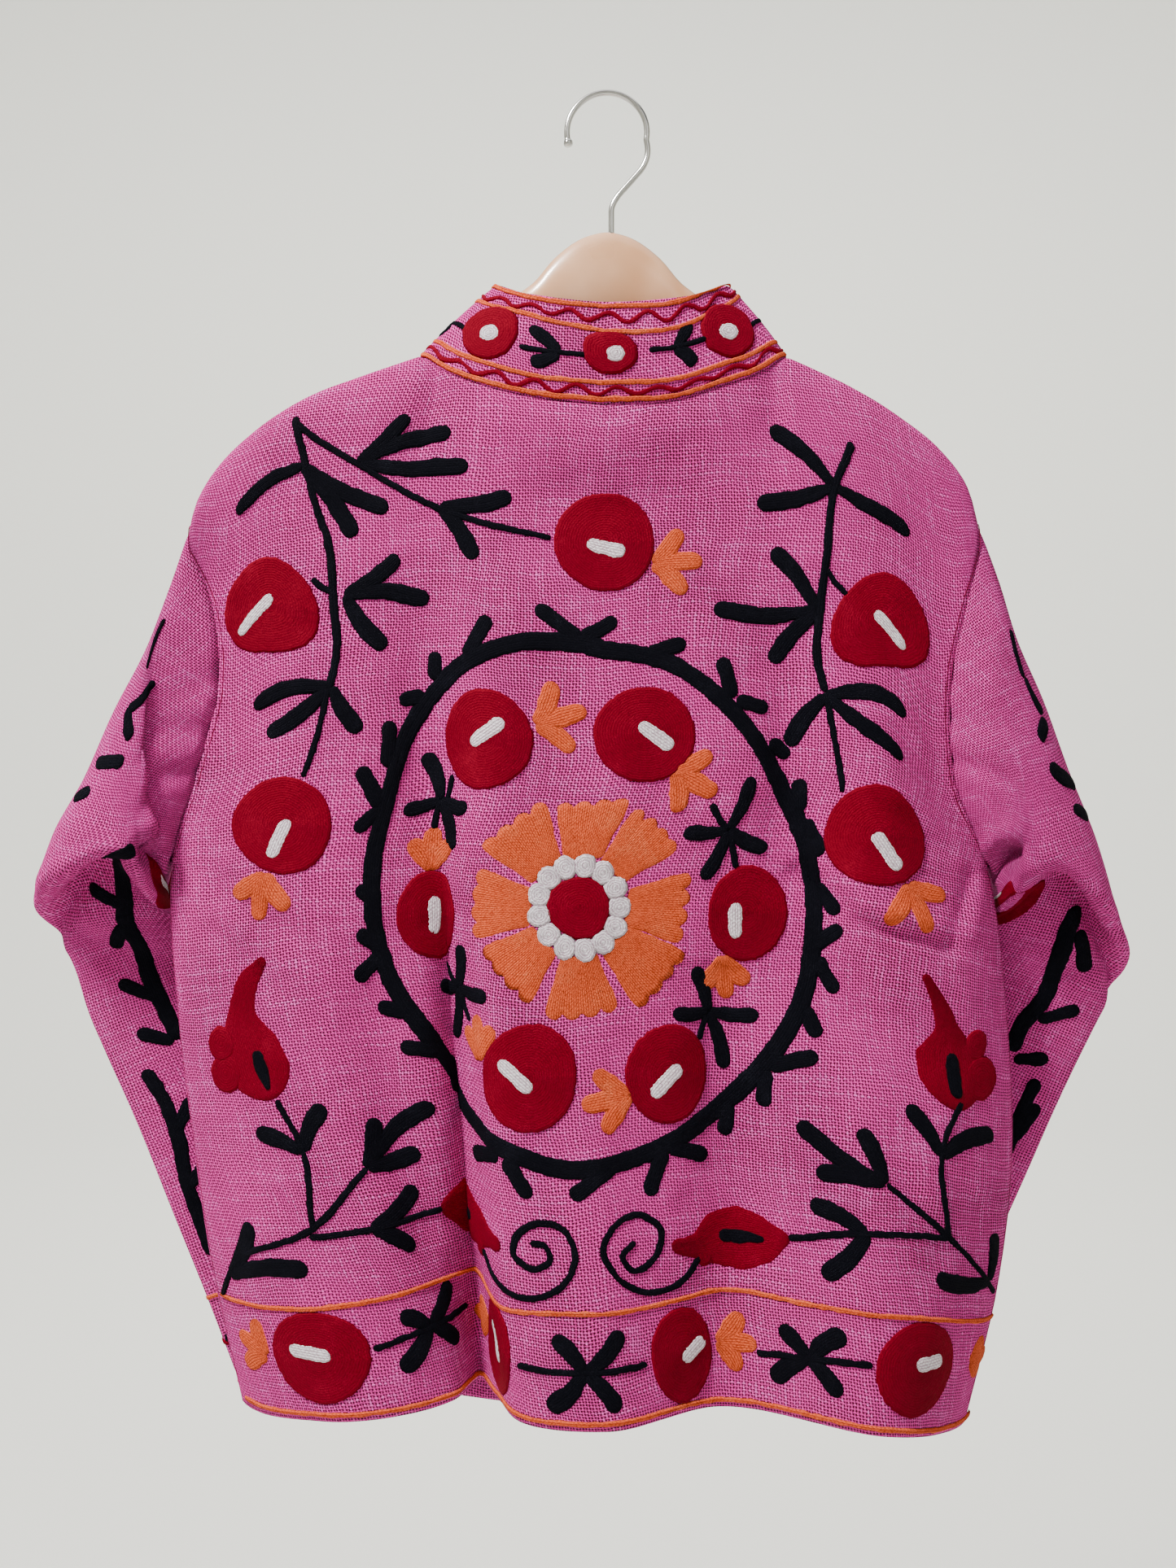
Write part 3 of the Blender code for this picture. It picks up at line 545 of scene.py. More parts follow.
class Yarn:
    """Stitches of one colour on one piece of cloth, gathered into one mesh."""

    def __init__(self, name, ground, material, seed):
        self.name = name
        self.ground = ground
        self.material = material
        self.draw = np.random.default_rng(seed)
        self.points = []
        self.faces = []
        self.places = []
        self.count = 0

    def tube(self, points, places, turned=False):
        """Rings of points joined into one closed body; the places are its UV map."""
        rings, around = points.shape[:2]
        number = self.count + np.arange(rings * around).reshape(rings, around)
        after = np.roll(number, -1, axis=1)
        quads = np.stack([number[:-1], after[:-1], after[1:], number[1:]], axis=2).reshape(-1, 4)
        spots = np.stack([places[:-1, :-1], places[:-1, 1:], places[1:, 1:], places[1:, :-1]], axis=2)
        spots = spots.reshape(-1, 4, 2)
        ends = [(number[0, ::-1], places[0, -2::-1]), (number[-1], places[-1, :-1])]
        if turned:
            quads, spots = quads[:, ::-1], spots[:, ::-1]
            ends = [(ring[::-1], row[::-1]) for ring, row in ends]
        self.points.append(points.reshape(-1, 3))
        self.faces += quads.tolist() + [ring.tolist() for ring, row in ends]
        self.places += [spots.reshape(-1, 2)] + [row for ring, row in ends]
        self.count += rings * around

    def stroke(self, line, widths, rise=1.0, base=0.0, blunt=False, scallops=0, step=stitch_step):
        """Rows of chain stitch side by side along a line, narrowed to its round ends."""
        line = np.asarray(line, float)
        curve = smooth_line(line, np.linspace(0, len(line) - 1, 30 * (len(line) - 1) + 1), power=1.0)
        whole = run_length(curve)[-1]
        widths = np.interp(np.linspace(0, 1, 60), np.linspace(0, 1, len(widths)), widths)
        first, last = widths[0] / 2, widths[-1] / 2
        inner = np.array([whole / 2])
        if whole > first + last + step:
            inner = np.arange(first, whole - last, step)
        s = np.unique(np.round(np.concatenate([first * np.array([0, 0.06, 0.25, 0.6]), inner,
                                               whole - last * np.array([0.6, 0.25, 0.06, 0])]), 4))
        s = s[(s >= 0) & (s <= whole)]
        half = np.interp(s / whole, np.linspace(0, 1, 60), widths) / 2
        near = np.minimum(1, s / first)
        beyond = np.minimum(1, (whole - s) / last)
        shoulder = np.sqrt(np.maximum(0, 1 - (1 - near) ** 2)) * np.sqrt(np.maximum(0,
                                                                                    1 - (1 - beyond) ** 2))
        shoulder = np.maximum(shoulder, 0.10)
        centre = points_along(curve, s)
        along = np.gradient(centre, s, axis=0)
        along /= np.maximum(np.linalg.norm(along, axis=1, keepdims=True), 1e-9)
        side = np.column_stack([along[:, 1], -along[:, 0]])
        rows = max(1, int(round(widths.max() / stitch_ridge)))
        t = np.linspace(-1, 1, max(5, 3 * rows + 1))
        rough = self.draw.normal(0, 1, (2, len(s)))
        rough = (rough + np.roll(rough, 1, axis=1) + np.roll(rough, -1, axis=1)) / 3
        edge = 1 + np.where(t[None] < 0, rough[0][:, None],
                            rough[1][:, None]) * (0.35 / np.maximum(half, 1))[:, None]
        reach = (half if blunt else half * shoulder)[:, None] * edge * t[None]
        flat = centre[:, None] + side[:, None] * reach[:, :, None]
        if scallops:
            notch = np.interp(t, np.linspace(-1, 1, 9), self.draw.uniform(2.5, 5.5, 9))
            pull = (1 - np.abs(np.sin(np.pi * scallops * (t + 1) / 2)) ** 0.6) * notch + 2.0 * t ** 2
            pull = pull[None] * np.clip((s / whole - 0.4) / 0.6, 0, 1)[:, None] ** 1.6
            flat -= along[:, None] * pull[:, :, None]
        dome = np.sqrt(1 - t ** 4)[None] * (shoulder ** 0.6)[:, None]
        phase = np.pi * rows * (t + 1) / 2
        bumps = 0.16 * (np.abs(np.sin(phase))[None] - 0.6) + self.draw.normal(0, 0.06, flat.shape[:2])
        bumps = bumps * (1 - t ** 6)[None]
        height = self.ground.face + base - stitch_sink + (rise + stitch_sink + bumps) * dome
        places = np.stack(np.broadcast_arrays(s[:, None] + self.draw.uniform(0, stitch_link),
                                              (rows * stitch_ridge * (t + 1) / 2)[None]), axis=2)
        places = np.concatenate([places, places[:, :1]], axis=1)
        self.tube(self.ground.at(flat[..., 0], flat[..., 1], height), places, self.ground.mirrored)

    def patch(self, a, b, wide, tall, turn=0.0, rise=1.0, base=0.0, lumps=0.02, grain=2.4):
        """A round or oval patch with its rows round and round, in millimetres as seen."""
        radius = (wide + tall) / 4
        around = int(np.clip(2 * np.pi * radius / grain, 14, 76))
        angle = np.linspace(0, 2 * np.pi, around + 1)
        swing = self.draw.uniform(0, 2 * np.pi, 2)
        shape = 1 + lumps * np.sin(2 * angle + swing[0]) + 0.8 * lumps * np.sin(3 * angle + swing[1])
        shape[:-1] += self.draw.normal(0, 0.22 / radius, around)
        shape[-1] = shape[0]
        rings = max(4, int(2.5 * radius / stitch_ridge))
        top = np.linspace(1, 0.5 / radius, rings)
        share = np.concatenate([[0.10, 0.40, 0.72], top])
        depth = radius * (1 - share)
        dome = np.sqrt(1 - (1 - np.minimum(1, depth / 1.2)) ** 2)
        under = np.arange(len(share)) < 3
        rows = 0.12 * np.cos(2 * np.pi * radius * share / stitch_ridge)
        height = (rise + stitch_sink + rows[:, None] + self.draw.normal(0, 0.07,
                                                                        (len(share), around))) * dome[:,
                                                                                                      None]
        height[under] = 0.0
        x = share[:, None] * wide / 2 * (np.cos(angle) * shape)[None, :-1]
        y = share[:, None] * tall / 2 * (np.sin(angle) * shape)[None, :-1]
        cos, sin = math.cos(math.radians(turn)), math.sin(math.radians(turn))
        spots = np.stack([x * cos - y * sin, x * sin + y * cos], axis=2).reshape(-1, 2)
        flat = self.ground.round_about(a, b, spots).reshape(len(share), around, 2)
        places = np.stack(np.broadcast_arrays(angle[None] * radius * share[:, None],
                                              (radius * share)[:, None]), axis=2)
        points = self.ground.at(flat[..., 0], flat[..., 1], self.ground.face + base - stitch_sink + height)
        self.tube(points, places)

    def spoke(self, a, b, angle, reach, widths, start=0.0, bend=0.0, **more):
        """A stroke out of one place at an angle, in millimetres and degrees as seen."""
        way = np.array([math.cos(math.radians(angle)), math.sin(math.radians(angle))])
        off = np.array([-way[1], way[0]])
        line = [way * (start + (reach - start) * f) + off * bend * 4 * f * (1 - f) for f in (0, 0.5, 1)]
        self.stroke(self.ground.round_about(a, b, line), widths, **more)

    def sewn(self):
        """The mesh of all these stitches, as one piece that hangs with the cloth."""
        piece = new_piece(self.name, np.vstack(self.points) * 0.001, self.faces, self.material,
                          np.vstack(self.places))
        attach(piece, "root")
        return piece


def wool(name, between_shade, thread, painted_highlight, seams, fuzz_size):
    """Chain-stitched wool: twisted links in rows with loose fibres; painted shade darkens the gaps between
    the links and the rows' edges, and a painted highlight lies on loose fibres at random.
    """
    made, shader, start = new_material(name)
    place = start.node("ShaderNodeUVMap", {"uv_map": "flat"})
    along, across = place.split()
    row = (across / stitch_row).math("FRACT") - 0.5
    aside = row.math("ABSOLUTE") * 2.0
    turn = (across / stitch_row).math("FLOOR") * 0.5
    link = (along / stitch_link + turn - aside * 0.42).math("FRACT")
    belly = (link * math.pi).math("SINE")
    round_row = 1.0 - aside * aside
    strand = ((along * 1.9 + row * 9.0) * 2.2).math("SINE") * 0.5 + 0.5
    spot = start.node("ShaderNodeTexCoord", out=3)
    fibre = spot.noise(fuzz_size, 5.0, 0.75)
    patch = spot.noise(60.0, 3.0)
    tuft = spot.noise(640.0, 3.0)
    stitch = round_row * (belly * 0.6 + 0.4)
    # Painted shade: darker between the links and towards the edges of each row, mixed with random fibre
    # tone.
    lit = (stitch * seams + (1.0 - seams) * 0.75 + (fibre - 0.5) * 1.1 + strand * 0.12 - 0.06)
    lit = (lit + (tuft - 0.5) * (1.5 * seams)).within()
    tint = lit.blend(between_shade, thread)
    # A painted highlight on loose fibres, at random places.
    fibre_highlight = ((fibre - 0.56) * 3.0 + (patch - 0.5) * 1.4).within(0.0, 0.7)
    connect(fibre_highlight.blend(tint, painted_highlight), shader, "Base Color")
    connect(0.98 - lit * 0.14, shader, "Roughness")
    settle(shader, {"Specular IOR Level": 0.05, "Sheen Weight": 0.06, "Sheen Roughness": 0.6,
                    "Sheen Tint": painted_highlight})
    bumped(stitch * seams + fibre * 0.9 + tuft * seams + strand * 0.2 * seams, shader, 0.0007, 0.9)
    return made


# name, painted shade colour between the stitches, thread colour, painted highlight
# colour on its loose fibres, how clearly the stitches show, and how fine the fibres are
wool_looks = [
    ("red_wool", (0.07, 0.0003, 0.003, 1), (0.215, 0.0008, 0.013, 1), (0.40, 0.006, 0.036, 1), 0.45,
     1700.0),
    ("black_wool", (0.001, 0.001, 0.002, 1), (0.003, 0.003, 0.006, 1), (0.016, 0.016, 0.026, 1), 0.4,
     1500.0),
    ("orange_wool", (0.34, 0.032, 0.008, 1), (0.80, 0.118, 0.040, 1), (0.98, 0.27, 0.12, 1), 0.95, 1500.0),
    ("white_wool", (0.44, 0.28, 0.36, 1), (0.96, 0.90, 0.94, 1), (1.0, 1.0, 1.0, 1), 0.95, 1500.0),
    ("seam_thread", (0.08, 0.002, 0.012, 1), (0.28, 0.01, 0.06, 1), (0.5, 0.04, 0.16, 1), 0.8, 900.0),
]
wools = {look[0]: wool(*look) for look in wool_looks}


def panel_yarns(panel, ground, seed):
    """The four colours of wool and the sewing thread for one panel, by the first word of their names."""
    return {name.split("_")[0]: Yarn(panel + "_" + name, ground, material, seed + k)
            for k, (name, material) in enumerate(wools.items())}


def flower_disc(yarns, row):
    """A red disc with a white bar: place, size, then the bar's offset, angle and length."""
    a, b, wide, tall, bar_x, bar_y, bar_angle, bar_length = row
    yarns["red"].patch(a, b, wide, tall)
    if bar_length:
        way = np.array([math.cos(math.radians(bar_angle)),
                        math.sin(math.radians(bar_angle))]) * (bar_length + 8) / 2
        ends = [np.array([bar_x, bar_y]) - way, np.array([bar_x, bar_y]) + way]
        line = yarns["white"].ground.round_about(a, b, ends)
        yarns["white"].stroke(line, [8.4, 9.8], rise=0.5, base=0.9)


def tulip_leaf(yarns, row):
    """An orange leaf of three lobes: its root, the middle lobe's angle, its reach and the spread."""
    a, b, angle, reach, spread = row
    for turn, share, bend in ((-spread, 0.88, 1.5), (spread, 0.88, -1.5), (0, 1.0, 0)):
        yarns["orange"].spoke(a, b, angle + turn, reach * share, [6.5, 12.5, 10.0], bend=bend)


def sprig(yarns, hub, tips, width=10.8):
    """Black leaves from one hub, each a fat stitched bar with a round tip."""
    for n, tip in enumerate(tips):
        run = np.array(tip, float) - hub
        bow = np.array([-run[1], run[0]]) * (0.06 if n % 2 else -0.05)
        yarns["black"].stroke([hub, np.array(hub) + run * 0.5 + bow, tip],
                              [6.0, width * 0.92, width * 1.05, width])


def stems(yarns, lines, width):
    """Black stems of one width."""
    for line in lines:
        yarns["black"].stroke(line, [width, width * 0.92, width * 1.05, width * 0.95])


def border(yarns, colour, b_and_in, width):
    """A line right across a panel, from one side to the other, a little in from both edges."""
    ground = yarns[colour].ground
    points = []
    for share, (b, inset) in zip(np.linspace(0.0, 1.0, len(b_and_in)), b_and_in):
        low, high = ground.sides(b)
        points.append((low + inset + (high - low - 2 * inset) * share, b))
    yarns[colour].stroke(points, [width, width])


def paisley(yarns, spine, widths, lobes, seed_line, seed_widths):
    """A red seed pod with a horn, scallops on one side and a black seed on top."""
    yarns["red"].stroke(spine, widths)
    for a, b, size in lobes:
        yarns["red"].patch(a, b, size, size * 1.1)
    yarns["black"].stroke(seed_line, seed_widths, rise=0.9, base=0.75)


back_ground = Ground(back_cloth, back_flat, 1)
back_yarns = panel_yarns("back", back_ground, 100)

# Places on the back are across from the centre line and up from the hem, flat
back_discs = [
    (6, 497, 60, 57, 1, -3, -13, 15), (-192, 466, 57, 57, -8, -4, 43, 20),
    (167, 457, 59, 57, 5, -4, -47, 18),
    (-178, 336, 61, 56, -1, -8, 66, 17), (171, 330, 64, 57, 4, -9, -58, 17),
    (-63, 379, 56, 59, 1, 4, 35, 16), (28, 384, 59, 57, 6, -1, -35, 16),
    (-89, 276, 42, 52, 2, 0, 88, 14), (105, 279, 48, 56, -7, -4, 90, 13),
    (-20, 189, 58, 60, -7, 1, -43, 17), (60, 188, 50, 56, -1, -4, 45, 16),
    (-214, 36, 61, 51, -5, 2, -3, 18), (-69, 34, 40, 54, -4, 1, -72, 16),
    (53, 32, 40, 54, 7, 2, 35, 10), (193, 37, 56, 53, 7, 2, 0, 13),
]
back_leaves = [
    (34, 483, 4, 29, 47), (-184, 309, -103, 28, 47), (194, 305, -70, 29, 55),
    (-35, 389, 16, 31, 50), (46, 362, -28, 28, 54), (-88, 302, 90, 25, 38), (93, 254, -85, 25, 40),
    (-52, 195, 96, 26, 36), (38, 177, 189, 29, 44), (-249, 36, 162, 24, 48), (-88, 40, 178, 20, 40),
    (76, 36, -4, 24, 48), (242, 40, 0, 20, 46),
]
back_sprigs = [
    ((-175, 545), [(-221, 529), (-143, 499), (-122, 514)]),
    ((-141, 543), [(-113, 570), (-86, 558), (-74, 538)]),
    ((-90, 514), [(-48, 522), (-69, 484)]), ((-147, 466), [(-114, 486), (-96, 460), (-122, 433)]),
    ((-153, 413), [(-200, 412), (-192, 390), (-138, 385)]),
    ((140, 530), [(103, 562), (94, 517), (188, 518)]),
    ((130, 456), [(104, 491), (69, 455), (103, 425)]), ((133, 407), [(111, 377), (179, 412), (176, 382)]),
    ((-188, 150), [(-213, 163), (-169, 175)]), ((-262, 80), [(-233, 111), (-205, 85)]),
    ((-155, 137), [(-143, 164), (-108, 168), (-121, 142)]), ((-163, 103), [(-129, 122), (-142, 88)]),
    ((254, 88), [(256, 116), (208, 86)]), ((215, 154), [(197, 179), (254, 173)]),
    ((180, 134), [(169, 163), (134, 162), (142, 135)]), ((168, 106), [(137, 118), (141, 79)]),
    ((-147, 45), [(-124, 65), (-170, 24), (-163, 54), (-129, 30)]),
    ((-7, 31), [(17, 51), (9, 10), (-22, 50), (-30, 11)]),
    ((129, 34), [(113, 48), (151, 51), (106, 18), (145, 17)]),
]
back_stars = [
    ((-89, 343), [(-101, 371), (-109, 338), (-69, 338), (-75, 314)]),
    ((85, 327), [(91, 358), (59, 326), (111, 316), (77, 298)]),
    ((-68, 234), [(-64, 260), (-89, 235), (-43, 232), (-77, 204)]),
    ((86, 222), [(77, 248), (64, 222), (115, 221), (95, 189)]),
]
back_thin_stems = [
    [(-191, 573), (-140, 542), (-90, 513), (-62, 505), (-25, 499)],
    [(-153, 467), (-160, 471), (-167, 477)], [(-155, 412), (-162, 386), (-170, 362)],
    [(135, 482), (141, 474), (148, 467)], [(133, 409), (138, 380), (145, 352)],
    [(-85, 343), (-84, 352), (-84, 358)], [(-89, 343), (-90, 334), (-89, 326)],
    [(85, 327), (77, 334), (71, 342)], [(87, 325), (91, 315), (95, 305)],
    [(-68, 234), (-75, 241), (-81, 248)], [(-66, 232), (-64, 224), (-60, 216)],
    [(85, 220), (82, 213), (80, 206)],
    [(-196, 180), (-188, 150), (-195, 106)], [(-277, 66), (-254, 88), (-195, 107), (-155, 137)],
    [(-199, 102), (-162, 103), (-117, 107)], [(231, 187), (215, 154), (218, 110)],
    [(262, 80), (246, 92), (218, 110), (181, 134)], [(218, 109), (170, 106), (123, 97)],
    [(-182, 38), (-147, 44), (-112, 46)], [(-46, 31), (-7, 31), (30, 31)], [(98, 31), (129, 34), (164, 37)],
]
back_main_stems = [
    [(-191, 575), (-174, 546), (-163, 512), (-156, 486), (-153, 460), (-150, 433), (-154, 412)],
    [(155, 558), (140, 529), (136, 490), (131, 455), (129, 430), (133, 409)],
]
back_ring = [(-8, 438), (46, 423), (82, 392), (110, 352), (136, 312), (144, 268), (138, 228), (116, 192),
             (84, 163),
             (44, 144), (-8, 140), (-40, 150), (-74, 163), (-98, 200), (-119, 250), (-122, 320),
             (-108, 388),
             (-78, 421), (-44, 436), (-8, 438), (6, 437)]
# where each twig leaves the ring and where it ends
back_twigs = [
    (-74, 426, -61, 451), (-94, 413, -93, 430), (-100, 405, -115, 402), (-8, 441, -34, 458),
    (-8, 441, 13, 452),
    (30, 430, 53, 436), (79, 403, 74, 427), (81, 402, 100, 398), (-122, 364, -121, 391),
    (-123, 341, -138, 365),
    (-123, 341, -135, 328), (-122, 288, -132, 296), (-119, 259, -133, 271), (-121, 256, -137, 243),
    (-108, 221, -127, 227), (-96, 197, -118, 203), (-90, 194, -89, 171), (-40, 145, -70, 139),
    (-36, 144, -25, 123),
    (25, 140, -2, 124), (55, 146, 43, 121), (57, 147, 81, 140), (96, 171, 92, 151), (118, 191, 115, 169),
    (119, 192, 148, 200), (140, 227, 148, 210), (146, 256, 158, 236), (143, 261, 160, 274),
    (142, 298, 157, 281),
    (127, 334, 143, 314), (123, 338, 119, 358), (101, 380, 112, 370),
]
back_spirals = [
    [(-76, 86), (-57, 74), (-34, 69), (-12, 78), (-4, 94), (-9, 107), (-21, 110), (-34, 103), (-38, 92),
     (-29, 85),
     (-18, 91), (-20, 98), (-28, 99)],
    [(71, 84), (57, 72), (35, 69), (18, 80), (12, 95), (21, 107), (37, 111), (48, 101), (44, 89), (28, 82),
     (23, 90),
     (32, 97)],
]
back_pods = [
    ([(207, 255), (218, 239), (224, 224), (226, 204), (228, 181)], [5, 9, 15, 40, 42, 30],
     [(243, 222, 17), (246, 203, 24)], [(227, 214), (228, 188)], [8.5, 9.5, 8.5]),
    ([(-187, 261), (-199, 249), (-206, 231), (-204, 206), (-199, 180)], [5, 13, 17, 36, 42, 30],
     [(-223, 214, 19), (-224, 197, 22)], [(-201, 209), (-199, 186)], [8, 10, 3.5]),
    ([(53, 92), (70, 90), (86, 93), (105, 94), (124, 97)], [8, 13, 32, 37, 26, 4],
     [(74, 84, 12)], [(83, 95), (109, 94)], [9, 9, 3]),
    ([(-118, 108), (-101, 105), (-86, 100), (-66, 96), (-46, 95)], [8, 32, 36, 26, 13, 8],
     [(-76, 86, 11)], [(-98, 106), (-85, 99)], [4, 8, 8]),
]
# the big flower in the middle: its place, its orange petals, and the white rounds
# in a ring round its red heart
flower_a = 7
flower_b = 285
petals = 8
petal_root = 27
petal_tip = 64
rounds = 13
rounds_wide = 23.2
rounds_tall = 24.0

for row in back_discs:
    flower_disc(back_yarns, row)
for row in back_leaves:
    tulip_leaf(back_yarns, row)
for hub, tips in back_sprigs:
    sprig(back_yarns, hub, tips)
for hub, tips in back_stars:
    sprig(back_yarns, hub, tips, 9.2)
stems(back_yarns, back_thin_stems, 4.2)
stems(back_yarns, back_main_stems, 5.6)
back_yarns["black"].stroke(back_ring, [11.4, 10.6, 11.8, 11.0, 11.6, 10.6, 11.6])
for from_a, from_b, to_a, to_b in back_twigs:
    back_yarns["black"].stroke([(from_a, from_b), ((from_a + to_a) / 2, (from_b + to_b) / 2), (to_a, to_b)],
                               [10.0, 9.4, 10.4])
for line in back_spirals:
    back_yarns["black"].stroke(line, [4.2, 3.9, 4.4, 4.0])
for pod in back_pods:
    paisley(back_yarns, *pod)
for n in range(petals):
    angle = 360 / petals * n + 3 * math.sin(2 * n)
    back_yarns["orange"].spoke(flower_a, flower_b, angle, petal_tip + 2 * math.sin(3 * n), [22, 29, 38, 43],
                               start=petal_root, blunt=True, scallops=4)
for n in range(rounds):
    turn = 2 * math.pi * n / rounds
    x, y = rounds_wide * math.cos(turn), rounds_tall * math.sin(turn)
    a, b = back_ground.round_about(flower_a, flower_b, [(x, y)])[0]
    back_yarns["white"].patch(a, b, 14.6, 13.4, math.degrees(turn), rise=0.5, base=0.6, grain=1.6)
back_yarns["red"].patch(flower_a, flower_b, 36, 38, rise=1.1, lumps=0.04)
back_orange_lines = [
    [(-279, 67), (-234, 63), (-179, 64), (-135, 67), (-97, 65), (-60, 60), (-20, 62), (30, 61), (78, 64),
     (134, 63),
     (200, 64), (266, 65)],
    [(-284, 6), (-270, 5), (-214, 4), (-150, 4), (-90, 4), (-30, 4), (60, 4), (150, 4), (262, 5), (274, 6)],
]
for line in back_orange_lines:
    back_yarns["orange"].stroke(line, [chain_line, chain_line])
# the seam into each armhole and the topstitching of each vent, in from the edge
arm_seam_in = 3.2
vent_stitch_in = 5.0
for end, inset in ((0, 1), (-1, -1)):
    seam = np.column_stack([back_flat[0][:, end], back_flat[1][:, end]])
    arm = (down_all >= 0.4) & (down_all <= underarm_row)
    back_yarns["seam"].stroke(seam[arm][::4] + [arm_seam_in * inset, 0], [1.0, 1.0], rise=0.08, step=2.5)
    below = (down_all >= underarm_row) & (down_all <= 9.9)
    back_yarns["seam"].stroke(seam[below][::5] + [vent_stitch_in * inset, 0], [1.1, 1.1], rise=0.1,
                              step=2.5)
back_stitching = [yarn.sewn() for yarn in back_yarns.values()]

# Front panels. Two plain halves of the same cotton, open down the middle with
# no buttons, sewn to the back at the shoulders and down to the side vents.
neck_front_left = [(-109, 0, -155), (-105.5, 5.6, -158), (-101, 10, -166), (-94, 14, -177), (-79, 18, -194),
                   (-56, 22, -210), (-26, 24, -220), (front_edge_left_x, 24, -223)]
neck_front_right = [(107, 0, -155), (103.5, 5.6, -158), (99, 10, -166), (92, 14, -177), (77, 18, -194),
                    (54, 22, -210), (23, 24, -220), (front_edge_right_x, 24, -223)]
# name, z at the centre edge, y at 1/4, 1/2, 4/5 and the whole of the way from
# the side to the centre edge, left front and right front
front_rows = [
    ("yoke", -290, [10, 12, 15, 16], [10, 12, 15, 16]),
    ("mid armhole", -342, [11, 13, 15, 15], [11, 13, 15, 15]),
    ("low armhole", -404, [10, 14, 15, 14], [10, 15, 14, 14]),
    ("underarm", -458, [11, 15, 14, 13], [11, 15, 13, 14]),
    ("waist", -544, [10, 17, 13, 14], [10, 16, 14, 13]),
    ("vent top", -622, [10, 18, 12, 15], [10, 17, 14, 12]),
    ("band", -699, [11, 19, 11, 16], [11, 18, 15, 11]),
    ("hem", -777, [12, 20, 10, 17], [12, 19, 16, 10]),
]
front_creases = {
    "left": [(-60, 420, -70, 120, 16, 1.3), (-130, 330, -120, 60, 18, 1.5), (-200, 310, -140, 270, 9, 1.4),
             (-30, 300, -26, 40, 12, 1.0), (-180, 180, -170, 30, 14, 1.1), (-150, 470, -90, 440, 12, 0.9)],
    "right": [(70, 400, 62, 90, 17, 1.4), (128, 320, 136, 70, 16, 1.3), (205, 300, 150, 262, 9, 1.5),
              (34, 280, 30, 50, 12, 0.9), (185, 190, 176, 30, 13, 1.2), (140, 470, 96, 436, 12, 0.9)],
}


def front_form(left):
    """A front panel from its shoulder to the hem, and how far in from the side each column lies."""
    neck = np.array(neck_front_left if left else neck_front_right, float)
    neck_at = 7 + (107 - back_top_x[7]) / (back_top_x[8] - back_top_x[7])
    shoulder = np.linspace(0, 2, 36) if left else np.linspace(9, neck_at, 36)
    curve = smooth_line(neck, np.linspace(0, len(neck) - 1, 400), power=1.0)
    line = points_along(curve, np.linspace(0, run_length(curve)[-1], 36)[1:])
    top_line = np.vstack([top_of_back(shoulder), line])
    way = (top_line[:, 0] - top_line[0, 0]) / (top_line[-1, 0] - top_line[0, 0])
    rows = [top_line, *over_hanger(top_line, 1)]
    centre_x = front_edge_left_x if left else front_edge_right_x
    end = 0 if left else -1
    for row, own in zip(back_rows, front_rows):
        name, z_left, z_mid, z_right, turn, xs, ys = row
        side = np.array([xs[end], ys[end], z_left if left else z_right], float)
        line = [side]
        marks = [0.0]
        if turn == 0:
            side[1] = -side[1]
        else:
            line.append(side + [3.5 if left else -3.5, 4.0, 0])
            marks.append(0.03)
        for place, y in zip((0.25, 0.5, 0.8, 1.0), own[2 if left else 3]):
            line.append((side[0] + (centre_x - side[0]) * place, y, side[2] + (own[1] - side[2]) * place))
            marks.append(place)
        rows.append(smooth_line(line, way, marks))
    form = through_rows(rows, down_all)
    form[:, :, 1] += armhole_round(down_all)[:, None] * np.maximum(0, 1 - 6 * way)[None] ** 2
    below = down_all >= underarm_row
    goal = back_edges[:, end].copy()
    goal[:, 1] += 2 * vent_gap(down_all)
    shift = np.where(below[:, None], goal - form[:, 0], 0)
    form += shift[:, None] * np.maximum(0, 1 - way / 0.04)[None, :, None]
    return form, way


front_edges = {}
# The fronts carry the same motifs as the back: places in from the centre edge and
# up from the hem for the left one, and the right one mirrors them
front_discs = [
    (-160, 470, 60, 57, 4, -4, 40, 17), (-62, 425, 56, 56, -4, 3, -40, 16),
    (-168, 335, 58, 56, 2, -6, 70, 17),
    (-72, 300, 54, 56, 5, -2, -25, 16), (-64, 190, 56, 58, -5, 2, 50, 16), (-188, 36, 56, 50, -4, 1, 5, 16),
    (-62, 34, 50, 52, 4, 1, 60, 14),
]
front_leaves = [
    (-133, 482, -14, 28, 48), (-62, 397, -95, 28, 46), (-168, 307, -86, 28, 50), (-72, 272, -80, 26, 44),
    (-64, 218, 95, 26, 42), (-86, 36, 178, 22, 42),
]
front_sprigs = [
    ((-112, 530), [(-150, 545), (-78, 520), (-84, 548)]),
    ((-110, 462), [(-92, 487), (-84, 462), (-96, 440)]),
    ((-114, 400), [(-150, 412), (-142, 386), (-92, 392)]),
    ((-118, 352), [(-96, 370), (-92, 342), (-138, 362)]),
    ((-116, 250), [(-92, 262), (-98, 236), (-140, 262)]), ((-190, 150), [(-214, 165), (-170, 176)]),
    ((-150, 130), [(-140, 160), (-106, 158), (-118, 134)]), ((-150, 95), [(-122, 112), (-132, 80)]),
    ((-128, 36), [(-106, 56), (-150, 18), (-148, 52), (-108, 18)]),
]
front_stems = [
    [(-106, 575), (-112, 530), (-108, 495), (-110, 462), (-116, 430), (-114, 400), (-118, 352), (-112, 300),
     (-116, 250), (-122, 205)],
    [(-218, 84), (-190, 104), (-150, 130)], [(-196, 184), (-190, 150), (-190, 104)],
    [(-190, 104), (-150, 95), (-112, 96)],
    [(-162, 36), (-128, 36), (-94, 36)],
]
